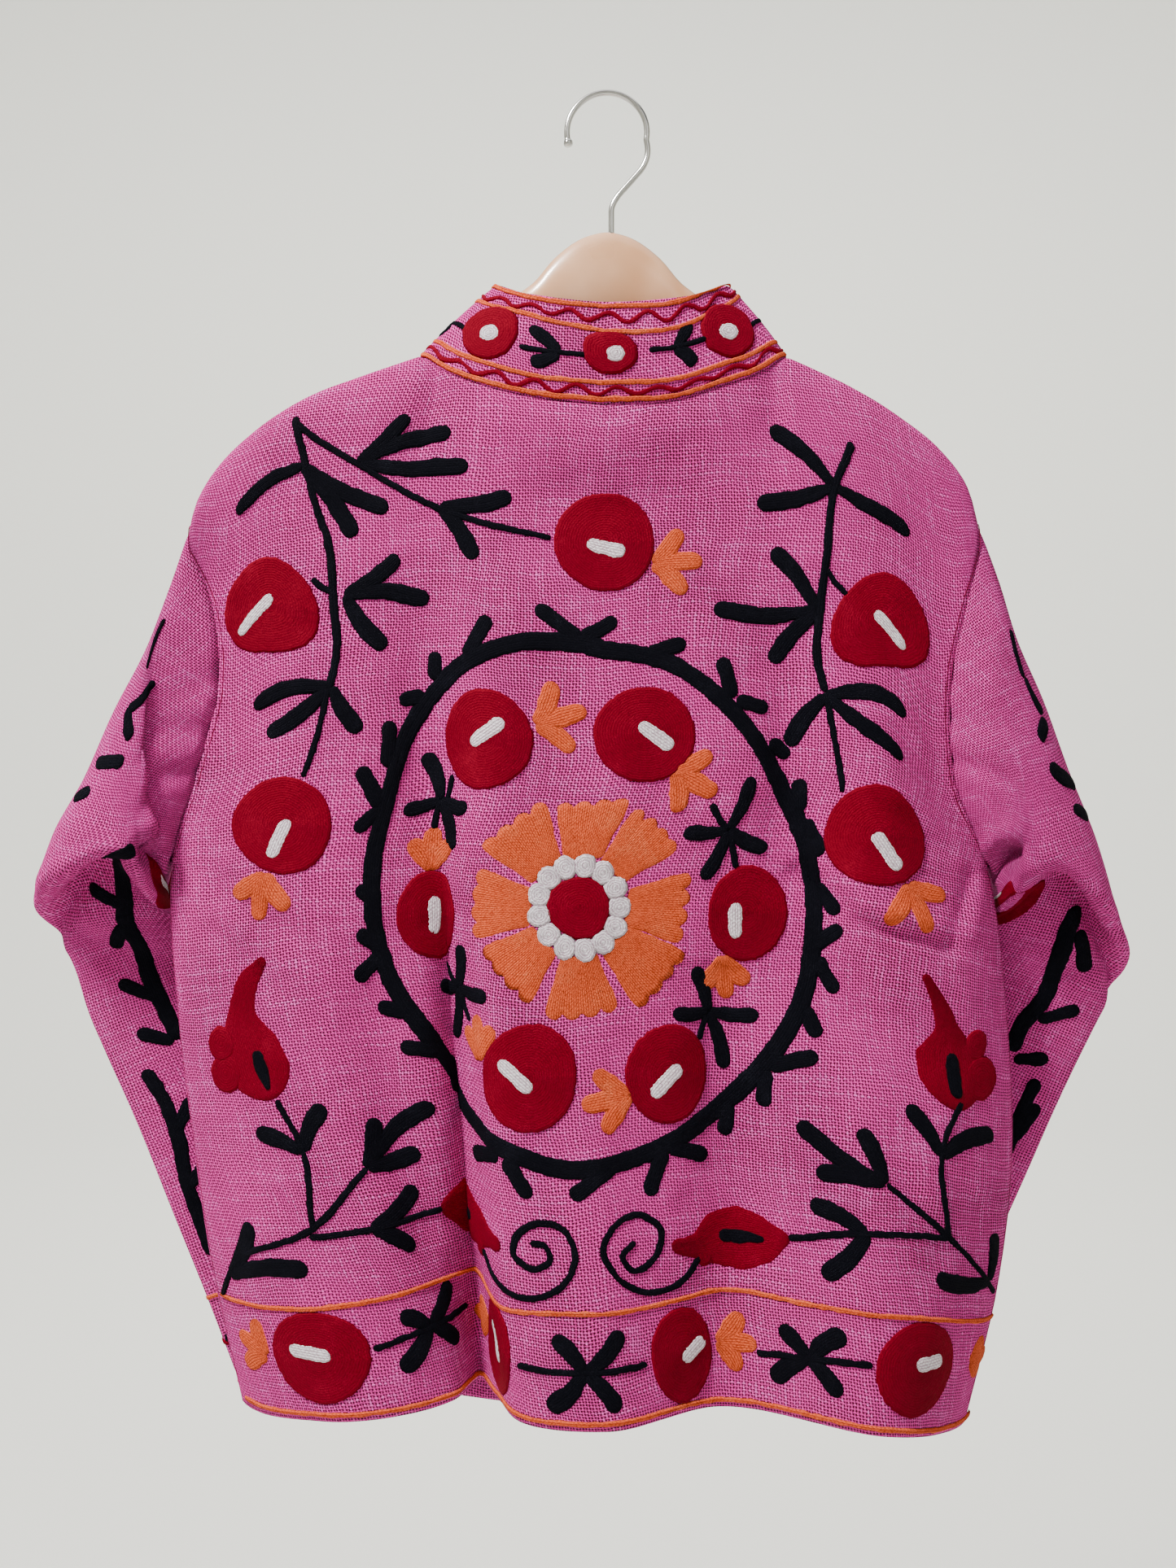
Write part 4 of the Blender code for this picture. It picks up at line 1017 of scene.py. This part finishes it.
front_pods = [
    ([(-176, 262), (-186, 248), (-192, 232), (-194, 212), (-190, 188)], [5, 12, 18, 38, 42, 28],
     [(-211, 220, 18), (-212, 203, 20)], [(-193, 216), (-191, 194)], [7, 9.5, 6]),
    ([(-30, 96), (-46, 94), (-62, 96), (-80, 96), (-98, 98)], [8, 13, 30, 36, 26, 5],
     [(-50, 86, 11)], [(-60, 97), (-84, 96)], [8, 9, 4]),
]
front_edge_line = [(-9, 70), (-10, 150), (-9, 240), (-10, 330), (-9, 420), (-10, 500), (-10, 538)]

for side, sign in (("left", -1), ("right", 1)):
    form, way = front_form(side == "left")
    front_edges[side] = form[:, 0].copy()
    flat = flat_sizes(form, form.shape[1] - 1)
    if side == "right":
        flat = (-flat[0], flat[1])
    calm = np.minimum(1, way / 0.2)[None] * np.minimum(1, (1 - way) / 0.06)[None]
    calm = calm * np.minimum(1, down_all / 2.5)[:, None]
    swell = ripple(flat, 90, 0.5, 21 if side == "left" else 22) + ripple(flat, 34, 0.15, 31)
    cloth = creased(form, flat, front_creases[side], swell, calm, sign)
    piece = cloth_shell("front_cloth_" + side, cloth, flat, sign, cloth_thick)
    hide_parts("front_" + side)
    hand = 1 if side == "left" else -1
    yarns = panel_yarns("front_" + side, Ground(cloth, flat, sign), 200 + 10 * hand)
    for a, b, wide, tall, bar_x, bar_y, bar_angle, bar_length in front_discs:
        flower_disc(yarns, (hand * a, b - 2 * hand, wide, tall, -hand * bar_x, bar_y, hand * bar_angle,
                            bar_length))
    for a, b, angle, reach, spread in front_leaves:
        tulip_leaf(yarns, (hand * a, b - 2 * hand, angle if hand < 0 else 180 - angle, reach, spread))
    for hub, tips in front_sprigs:
        sprig(yarns, (hand * hub[0], hub[1]), [(hand * a + hand, b - hand) for a, b in tips])
    stems(yarns, [[(hand * a, b) for a, b in line] for line in front_stems], 4.6)
    for spine, widths, lobes, seed_line, seed_widths in front_pods:
        paisley(yarns, [(hand * a, b) for a, b in spine], widths,
                [(hand * a, b, size) for a, b, size in lobes],
                [(hand * a, b) for a, b in seed_line], seed_widths)
    yarns["orange"].stroke([(hand * a, b) for a, b in front_edge_line], [chain_line, chain_line])
    border(yarns, "orange", [(65, 3), (62, 0), (64, 0), (65, 12)], chain_line)
    border(yarns, "orange", [(4, 4), (4, 0), (4, 0), (4, 4)], chain_line)
    stitching = [yarn.sewn() for yarn in yarns.values() if yarn.count]

# Sleeves. Each is one piece of the same cotton sewn round into the armhole; it
# hangs from the shoulder, rolls at the elbow and lies folded back behind the
# body, so the cuff is out of sight behind the hem.

# name, then for the left and for the right sleeve the outer edge's x and z, the
# inner edge's x and z and how far the seen side sags along the sleeve, and then
# for both the edges' y, how far the seen and the far side bulge and the far side sags
sleeve_rings = [
    ("cap", (-254, -289, -258.5, -459, -8), (231, -287, 229.5, -462, -8), 2, 3, -24, 18, -6),
    ("upper", (-268, -325, -260.5, -463, 0), (241, -320, 231.5, -466, 0), 4, 5.5, -31, 21, 0),
    ("mid upper", (-287, -361, -261.5, -467, -3), (256, -354, 232.5, -470, -2), 6, 8.5, -35, 22, 0),
    ("lower upper", (-306, -402, -262, -471, -8), (272, -396, 233, -474, -6), 9, 12, -38, 22, 0),
    ("above roll", (-326, -436, -262, -475, -18), (291, -441, 233, -478, -13), 13, 15.5, -39, 22, 0),
    ("roll edge", (-335, -463, -261, -479, -25), (303, -482, 232, -482, -28), 17, 19.5, -36, 20, 0),
    ("behind roll", (-338, -477, -258.5, -483, -26), (310, -502, 229.5, -486, -33), 20, 23.5, -18, 17, 0),
    ("elbow", (-336, -489, -252, -487, -3), (312, -521, 223, -490, -8), 23, 28, -14, 13, 0),
    ("forearm", (-323, -513, -222, -497, 0), (300, -548, 193, -502, 0), 27, 35, -10, 10, 0),
    ("forearm 2", (-313, -546, -190, -513, 0), (285, -580, 163, -530, 0), 29, 37, -8, 9, 0),
    ("forearm 3", (-304, -568, -168, -528, 0), (272, -609, 139, -553, 0), 30, 38, -8, 8, 0),
    ("forearm 4", (-284, -613, -147, -563, 0), (258, -641, 124, -583, 0), 30, 39, -8, 8, 0),
    ("forearm 5", (-262, -668, -128, -618, 0), (238, -686, 105, -629, 0), 30, 39, -8, 8, 0),
    ("above cuff", (-241, -720, -114, -673, 0), (219, -731, 92, -677, 0), 30, 39, -8, 8, 0),
    ("cuff", (-220, -775, -99, -730, 0), (199, -775, 80, -726, 0), 30, 39, -9, 8, 0),
]
sleeve_creases = {
    "left": [(-4, 296, 84, 366, 7, 11.0), (70, 372, 180, 358, 7, 10.0), (150, 478, 60, 416, 11, 2.2),
             (165, 446, 84, 392, 8, 1.8), (96, 520, 84, 452, 10, 1.4),
             (18, 300, 66, 256, 9, 1.8), (24, 196, 96, 150, 10, 1.8), (16, 122, 80, 74, 9, 1.6),
             (-60, 450, -150, 404, 12, 1.8), (-40, 330, -120, 280, 11, 1.8),
             (-30, 180, -100, 130, 10, 1.5)],
    "right": [(-6, 262, 84, 354, 7, 11.0), (76, 370, 204, 330, 7, 10.0), (152, 486, 66, 430, 11, 2.4),
              (168, 458, 80, 396, 8, 2.0), (104, 530, 86, 462, 10, 1.5),
              (20, 288, 70, 240, 9, 1.8), (22, 206, 92, 168, 10, 1.6), (18, 130, 84, 84, 9, 1.7),
              (-64, 446, -148, 396, 12, 1.9), (-36, 318, -124, 276, 11, 1.7),
              (-28, 190, -104, 136, 10, 1.6)],
}


def half_ring(ring, end, far, share):
    """One side of a ring, at the given shares of its length from outer to inner edge."""
    name, *sides, yo, yi, bulge_near, bulge_far, sag_far = ring
    xo, zo, xi, zi, sag_near = sides[end]
    t = np.linspace(0, np.pi, 97)
    s = (1 - np.cos(t)) / 2
    across = np.array([-(zi - zo), 0, xi - xo], float)
    across /= np.linalg.norm(across)
    if across[2] > 0:
        across = -across
    bulge, sag = (bulge_far, sag_far) if far else (bulge_near, sag_near)
    start, end = np.array([xo, yo, zo], float), np.array([xi, yi, zi], float)
    line = start + (end - start) * s[:, None]
    line[:, 1] += bulge * np.abs(np.sin(t)) ** 0.8
    line += across * (sag * np.maximum(0, np.sin(np.pi * s ** 1.3)) * (1 - s ** 6))[:, None]
    return points_along(line, share * run_length(line)[-1])


def sleeve_form(end, near_edge, far_edge):
    """The sleeve from the armhole to the cuff: inner edge, far side, outer edge, near side, inner edge."""
    off = np.zeros_like(near_edge)
    off[-4:, 0] = math.copysign(2.4, near_edge[-1, 0])
    halves = []
    for points, far in ((near_edge + off, False), (far_edge + off, True)):
        share = run_length(points) / run_length(points)[-1]
        rows = [points] + [half_ring(ring, end, far, share) for ring in sleeve_rings]
        halves.append(through_rows(rows, sleeve_down))
    near, far = halves
    return np.concatenate([far[:, :0:-1], near[:, :-1]], axis=1), near.shape[1] - 1


sleeve_down = steps([6, 6, 6, 6, 7, 8, 6, 6, 8, 6, 6, 8, 8, 8, 8])
armhole = down_all <= underarm_row
# Places on a sleeve are in from its outer edge, on the seen side above 0 and on
# the side turned to the body's front below 0, and up from the cuff
sleeve_marks = {
    "left": [
        ([(36, 456), (52, 466), (73, 473)], [8, 10, 11]), ([(36, 458), (43, 449), (54, 440)], [8, 9, 10.5]),
        ([(28, 420), (42, 424), (56, 426)], [9, 10, 10]), ([(22, 394), (34, 405)], [8, 9.5]),
        ([(33, 512), (40, 494), (44, 482)], [5, 6, 5]), ([(56, 312), (39, 325)], [8, 10]),
        ([(50, 300), (32, 281)], [7, 9.5]), ([(45, 243), (26, 260)], [8, 10]),
        ([(44, 214), (25, 227)], [8, 10]),
        ([(20, 204), (23, 180), (22, 156), (17, 131), (16, 107), (15, 84)], [10, 9, 11, 9, 10, 9]),
        ([(22, 162), (40, 178)], [8, 10]), ([(17, 128), (36, 140)], [8, 10]), ([(4, 30), (16, 44)], [7, 9]),
    ],
    "right": [
        ([(25, 498), (32, 484), (36, 470)], [5, 6, 5]), ([(34, 470), (34, 458), (31, 446)], [4, 7, 9]),
        ([(30, 443), (47, 434)], [9, 11]), ([(44, 418), (32, 408), (20, 399)], [11, 11, 8]),
        ([(34, 390), (20, 379)], [10, 9]),
        ([(42, 297), (27, 273)], [9, 11]), ([(36, 234), (17, 250)], [8, 10]),
        ([(38, 206), (19, 214)], [8, 10]),
        ([(18, 160), (13, 186)], [8, 10]), ([(20, 200), (20, 160), (17, 120), (16, 84)], [9, 10, 9, 10]),
        ([(18, 120), (36, 136)], [8, 10]), ([(4, 30), (16, 44)], [7, 9]),
    ],
}
sleeve_vines = {
    "left": [(76, 378), (68, 346), (60, 322), (51, 295), (45, 264), (46, 242), (47, 214)],
    "right": [(48, 310), (48, 291), (45, 274), (39, 249), (43, 227), (41, 210)],
}
sleeve_discs = {
    "left": [(137, 338, 54, 56, 8, 4, 30, 16), (70, 150, 50, 52, 0, 0, 60, 15)],
    "right": [(101, 314, 56, 56, -26, 2, 60, 14), (70, 150, 50, 52, 0, 0, 60, 15)],
}
far_marks = [
    ([(-62, 520), (-58, 470), (-64, 420), (-60, 360), (-56, 300), (-60, 240), (-56, 180), (-54, 110)],
     [9, 8, 10, 9, 10, 9, 10, 9]),
    ([(-58, 476), (-34, 496)], [8, 10]), ([(-60, 452), (-86, 470)], [8, 10]),
    ([(-62, 398), (-38, 416)], [8, 10]),
    ([(-60, 340), (-84, 358)], [8, 10]), ([(-58, 300), (-34, 318)], [8, 10]),
    ([(-58, 262), (-84, 280)], [8, 10]),
    ([(-58, 212), (-36, 232)], [8, 10]), ([(-56, 170), (-80, 186)], [8, 10]),
    ([(-54, 130), (-34, 150)], [8, 10]),
]
far_discs = [(-112, 410, 54, 56, 2, 3, 40, 16), (-112, 316, 52, 54, 2, -3, -50, 16),
             (-104, 226, 50, 50, -3, 2, 70, 15),
             (-96, 140, 46, 48, 2, 2, 30, 14)]

for side, sign in (("left", 1), ("right", -1)):
    end = 0 if side == "left" else 1
    form, outer_column = sleeve_form(end, back_edges[armhole, end], front_edges[side][armhole])
    flat = flat_sizes(form, outer_column)
    cloth = pressed(form, flat, sleeve_creases[side], sign, closed=True)
    piece = cloth_shell("sleeve_cloth_" + side, cloth, flat, sign, cloth_thick, closed=True)
    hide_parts("sleeve_" + side)
    yarns = panel_yarns("sleeve_" + side, Ground(cloth, flat, sign, closed=True), 300 + 10 * sign)
    for line, widths in sleeve_marks[side] + far_marks:
        yarns["black"].stroke(line, widths)
    yarns["black"].stroke(sleeve_vines[side], [11, 12, 10.5, 11.5, 10.5])
    for disc in sleeve_discs[side] + far_discs:
        flower_disc(yarns, disc)
    for b in (60, 6):
        border(yarns, "orange", [(b, 6)] * 9, chain_line)
    wave = [(b, 6) for b in [30, 36] * 10]
    border(yarns, "red", wave, 3.6)
    stitching = [yarn.sewn() for yarn in yarns.values() if yarn.count]

# Stand collar. A straight band of the same cotton, sewn round the neck and
# embroidered along its whole length; it is open at the centre front.

# name, then x, y and z of the band's top edge from the left end round the back
collar_top = [
    ("left end", front_edge_left_x, 24, -167), ("left front", -38, 20, -147), ("left side", -64, 0, -113),
    ("left back", -46, -16, -122), ("centre back", 0, -22, -129), ("right back", 52, -16, -123),
    ("right side", 73, 0, -113), ("right front", 42, 20, -147), ("right end", front_edge_right_x, 24, -167),
]


def collar_form():
    """The band round the neck, from its top edge down to the neck's seam."""
    bottoms = [np.array(neck_front_left[::-1], float), np.array(neck_back[:7], float),
               np.array(neck_back[6:], float), np.array(neck_front_right, float)]
    tops = [np.array(row[1:], float) for row in collar_top]
    low, high = [], []
    for k, points in enumerate(bottoms):
        curve = smooth_line(points, np.linspace(0, len(points) - 1, 300), power=1.0)
        share = np.linspace(0, 1, 61)[0 if k == 0 else 1:]
        low.append(points_along(curve, share * run_length(curve)[-1]))
        high.append(smooth_line(tops, 2 * k + 2 * share))
    low, high = np.vstack(low), np.vstack(high)
    rows = []
    for f in np.linspace(1, 0, 23):
        line = low + (high - low) * f
        out = line * [1, 2, 0]
        out /= np.maximum(np.linalg.norm(out, axis=1, keepdims=True), 1e-6)
        line = line + out * 1.5 * math.sin(math.pi * f)
        line[0, 0] = front_edge_left_x
        line[-1, 0] = front_edge_right_x
        rows.append(line)
    return np.array(rows)


collar_thick = cloth_thick + 0.6
collar_cloth = collar_form()
collar_flat = flat_sizes(collar_cloth, collar_cloth.shape[1] // 2)
collar_piece = cloth_shell("collar_cloth", collar_cloth, collar_flat, 1, collar_thick)
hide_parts("collar")
collar_yarns = panel_yarns("collar", Ground(collar_cloth, collar_flat, 1, thick=collar_thick), 400)
# how high each orange line runs on the band, from the left end to the right
collar_lines = [
    [56, 56, 57, 60, 57, 56, 56, 56, 57, 58, 57, 56, 56],
    [44, 44, 45, 47, 47, 44, 41, 41, 44, 46, 45, 44, 44],
    [12, 12, 12, 13, 13, 12, 12, 12, 12, 11, 12, 12, 12], [2.6] * 13,
]
for heights in collar_lines:
    border(collar_yarns, "orange", [(b, 4) for b in heights], 3.4)
for low, high, count in ((47.6, 52.6, 32), (5.0, 9.2, 42)):
    lift = [0, 0, 1, 2, 1, 0, -1, -1, 0, 1, 1, 0, 0] if low > 20 else [0] * 13
    rises = np.interp(np.linspace(0, 12, count), np.arange(13), lift)
    zigzag = [((high if n % 2 else low) + rises[n] + 0.8 * math.sin(2.7 * n), 6) for n in range(count)]
    border(collar_yarns, "red", zigzag, 3.2)
# discs: place, size and the size of the white round in the middle
collar_discs = [(-205, 28, 30, 28, 9), (-137, 29, 32, 30, 11), (-68, 31, 35, 34, 12), (4, 29, 33, 25, 11),
                (75, 30, 34, 34, 12), (140, 28, 31, 29, 10), (206, 28, 30, 28, 9)]
for a, b, wide, tall, dot in collar_discs:
    collar_yarns["red"].patch(a, b, wide, tall, base=0.3)
    collar_yarns["white"].patch(a + (3 if a == 4 else 0), b - 1, dot + 2, dot, rise=0.7, base=0.85,
                                grain=1.6)
collar_sprigs = [
    ((-25, 27), [(-43, 39), (-42, 19)]), ((41, 30), [(50, 42), (54, 17)]),
    ((-98, 28), [(-112, 38), (-111, 18)]),
    ((105, 27), [(118, 37), (117, 17)]), ((-168, 28), [(-180, 38), (-180, 18)]),
    ((172, 27), [(184, 37), (184, 17)]),
]
for hub, tips in collar_sprigs:
    sprig(collar_yarns, hub, tips, 8.6)
    out = math.copysign(1, hub[0])
    stems(collar_yarns, [[(hub[0] - 15 * out, hub[1]), hub, (hub[0] + 24 * out, hub[1])]], 3.8)
collar_stitching = [yarn.sewn() for yarn in collar_yarns.values() if yarn.count]

# Hanger. A plain moulded arch of glossy peach plastic, a little cloudy, in one
# piece, with the hook's stem set in its top. The jacket covers all but the arch's top.

# x and z of its top line, its height and half its thickness
hanger_rows = [
    (-208, -204.5, 13, 4.6), (-203, -200.2, 16, 5.6), (-190, -191.0, 17, 6.0), (-174, -181.0, 18, 6.0),
    (-158, -174.2, 18, 6.0), (-141, -168.0, 18, 6.0), (-125, -163.2, 18, 6.0), (-109, -159.2, 19, 5.8),
    (-94, -150.0, 20, 5.8), (-78, -137.5, 22, 6.4), (-62, -124.8, 25, 7.0), (-50, -116.5, 28, 7.0),
    (-42, -110.5, 31, 7.0), (-30, -96.5, 40, 7.0), (-16, -85.6, 48, 7.0), (-7, -82.0, 51, 7.0),
    (1, -80.6, 52, 7.0), (9, -81.8, 51, 7.0), (18, -85.2, 48, 7.0), (33, -96.5, 40, 7.0),
    (45, -110.5, 31, 7.0), (53, -116.8, 28, 7.0), (64, -124.8, 25, 7.0), (79, -137.5, 22, 6.4),
    (93, -149.8, 20, 5.8), (107, -159.2, 19, 5.8), (125, -166.6, 18, 6.0), (143, -174.0, 18, 6.0),
    (157, -182.2, 18, 6.0), (171, -191.0, 18, 6.0), (184, -201.0, 17, 6.0), (195, -210.5, 16, 5.6),
    (201, -217.5, 13, 4.6),
]


def rounded_piece(name, rings, material):
    """A closed smooth body through rings of points, given in millimetres."""
    rows, columns = rings.shape[:2]
    points = np.vstack([rings.reshape(-1, 3), rings[0].mean(axis=0), rings[-1].mean(axis=0)]) * 0.001
    faces = [(columns * r + k, columns * r + (k + 1) % columns, columns * (r + 1) + (k + 1) % columns,
              columns * (r + 1) + k) for r in range(rows - 1) for k in range(columns)]
    last = columns * (rows - 1)
    faces += [(rows * columns, (k + 1) % columns, k) for k in range(columns)]
    faces += [(rows * columns + 1, last + k, last + (k + 1) % columns) for k in range(columns)]
    piece = new_piece(name, points, faces, material)
    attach(piece, "root")
    return piece


def full_turn(count):
    """Angles evenly round a full turn."""
    return np.linspace(0, 2 * math.pi, count + 1)[:-1]


plastic, shader, start = new_material("peach_plastic")
spot = start.node("ShaderNodeTexCoord", out=3)
cloud = spot.noise(26.0, 3.0)
streak = spot.noise(9.0, 2.0, twist=1.2)
tone = ((cloud * 0.5 + streak * 0.5 - 0.32) * 2.6).within()
connect(tone.blend((0.50, 0.235, 0.105, 1), (0.70, 0.40, 0.235, 1)), shader, "Base Color")
connect(0.20 + cloud * 0.22, shader, "Roughness")
settle(shader, {"Coat Weight": 0.5, "Coat Roughness": 0.12, "Subsurface Weight": 0.12,
                "Subsurface Radius": (0.006, 0.003, 0.0015)})
bumped(cloud * 0.5 + streak * 0.5, shader, 0.0012, 0.35)
hanger_at = np.linspace(0, len(hanger_rows) - 1, 129)
hanger_line = smooth_line(hanger_rows, hanger_at)
round_off = np.sqrt(1 - (1 - np.minimum(1, np.minimum(hanger_at,
                                                      hanger_at[::-1]) / 0.9)) ** 2) * 0.75 + 0.25
hanger_sides = 32
turn = full_turn(hanger_sides)
hanger_rings = np.stack([
    np.repeat(hanger_line[:, :1], hanger_sides, axis=1),
    hanger_line[:, 3:] * round_off[:, None] * np.cos(turn),
    hanger_line[:, 1:2] - hanger_line[:, 2:3] / 2 * (1 - round_off[:, None] * np.sin(turn)),
], axis=2)
hanger_piece = rounded_piece("hanger_arch", hanger_rings, plastic)
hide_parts("hanger_body")

# Hook. Round steel wire, nickel plated and polished, with a ball at its tip.
steel, shader, start = new_material("plated_steel")
spot = start.node("ShaderNodeTexCoord", out=3)
scratch = spot.noise(700.0, 3.0)
tarnish = spot.noise(45.0, 3.0)
connect(tarnish.blend((0.44, 0.42, 0.40, 1), (0.74, 0.73, 0.71, 1)), shader, "Base Color")
connect(0.10 + tarnish * 0.16 + scratch * 0.06, shader, "Roughness")
settle(shader, {"Metallic": 1.0})
bumped(scratch, shader, 0.0002, 0.2)
hook_stem = [(4.0, -84.0), (4.0, -73.0), (4.3, -66.0), (7.0, -60.5), (12.5, -54.0), (18.0, -47.8),
             (23.0, -41.5), (25.2, -35.5), (25.3, -30.0)]
wire_radius = 1.75
hook_radius = 23.6
hook_centre = (1.4, -21.85)
# how far the bend runs on past half a turn at both ends, in degrees
overrun = 10
ball_rings = 17
# how far each ring of the ball lies past the wire's end, and its radius
ball = [(0.6, 2.3), (1.6, 2.7), (2.8, 2.7), (3.8, 2.1), (4.4, 0.6)]
bend = [(hook_centre[0] + hook_radius * math.cos(math.radians(a)),
         hook_centre[1] + hook_radius * math.sin(math.radians(a))) for a in np.linspace(-overrun,
                                                                                        180 + overrun, 41)]
wire_line = np.array(hook_stem + bend)
wire_line = smooth_line(wire_line, np.linspace(0, len(wire_line) - 1, 3 * len(wire_line)), power=1.0)
end_way = np.array([math.sin(math.radians(overrun)), -math.cos(math.radians(overrun))])
ball_line = smooth_line(ball, np.linspace(0, len(ball) - 1, ball_rings))
wire_line = np.vstack([wire_line, wire_line[-1] + ball_line[:, :1] * end_way])
wire_radii = np.concatenate([np.full(len(wire_line) - ball_rings, wire_radius), ball_line[:, 1]])
way = np.gradient(wire_line, axis=0)
way /= np.linalg.norm(way, axis=1, keepdims=True)
turn = full_turn(20)
reach = wire_radii[:, None] * np.cos(turn)
hook_rings = np.stack([
    wire_line[:, :1] + way[:, 1:] * reach,
    wire_radii[:, None] * np.sin(turn),
    wire_line[:, 1:] - way[:, :1] * reach,
], axis=2)
hook_piece = rounded_piece("hook_wire", hook_rings, steel)
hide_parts("hanger_hook")

# Room. A pale floor and soft studio light, brightest from the upper left, and
# the camera at the height of the jacket's middle, straight before its back.
world = bpy.data.worlds.new("studio")
bpy.context.scene.world = world
world.use_nodes = True
world.node_tree.nodes["Background"].inputs[0].default_value = (0.86, 0.87, 0.86, 1)
world.node_tree.nodes["Background"].inputs[1].default_value = 0.26


def studio_light(name, place, target, size, watts, colour):
    data = bpy.data.lights.new(name, "AREA")
    data.shape = "SQUARE"
    data.size = size
    data.energy = watts
    data.color = colour
    lamp = bpy.data.objects.new(name, data)
    lamp.location = place
    lamp.rotation_euler = (Vector(target) - Vector(place)).to_track_quat("-Z", "Y").to_euler()
    bpy.context.scene.collection.objects.link(lamp)


# name, place, the place it shines at, width, watts, colour
studio_lights = [
    ("key_light", (-0.95, -0.80, 1.20), (0, 0, -0.35), 0.35, 98, (1.0, 0.99, 0.97)),
    ("fill_light", (1.1, -2.4, 0.9), (0, 0, -0.3), 1.4, 8, (0.97, 0.98, 1.0)),
    ("roof_light", (0.0, 0.0, 3.4), (0, 0.001, -1.0), 4.0, 70, (1.0, 1.0, 0.99)),
    ("wall_light", (0.0, 1.6, 2.4), (0, 5.6, 0.0), 2.4, 252, (1.0, 1.0, 0.98)),
]
for row in studio_lights:
    studio_light(*row)

# The floor is a wide round that curves up at its rim, so that no line shows across the room
floor_level = -1.35
flat_radius = 3.4
curve_radius = 2.2
wall_top = 3.8
floor_sides = 96
rim = [(0.05, floor_level), (flat_radius, floor_level)]
rim += [(flat_radius + curve_radius * math.sin(t), floor_level + curve_radius * (1 - math.cos(t)))
        for t in np.linspace(0.05, math.pi / 2, 24)]
rim += [(flat_radius + curve_radius, wall_top)]
floor_points = np.array([(r * math.cos(a), r * math.sin(a), z) for r,
                         z in rim for a in full_turn(floor_sides)])
floor_faces = []
for k in range(len(rim) - 1):
    for n in range(floor_sides):
        here, after = floor_sides * k + n, floor_sides * k + (n + 1) % floor_sides
        floor_faces.append((here, after, after + floor_sides, here + floor_sides))
floor_faces.append(tuple(range(floor_sides - 1, -1, -1)))
floor_paint, shader, start = new_material("floor_paint")
settle(shader, {"Base Color": (0.82, 0.815, 0.765, 1), "Roughness": 0.9})
floor = new_piece("floor", floor_points, floor_faces, floor_paint)

# The camera stands level with the jacket's middle; sizes in millimetres
camera_away = 850
view_height = 925
camera_data = bpy.data.cameras.new("camera")
camera_data.sensor_fit = "VERTICAL"
camera_data.sensor_height = 36
camera_data.lens = camera_away * camera_data.sensor_height / view_height
camera = bpy.data.objects.new("camera", camera_data)
camera.location = (-0.0098, -0.001 * camera_away, -0.406)
camera.rotation_euler = (math.radians(90), 0, 0)
bpy.context.scene.collection.objects.link(camera)
bpy.context.scene.camera = camera
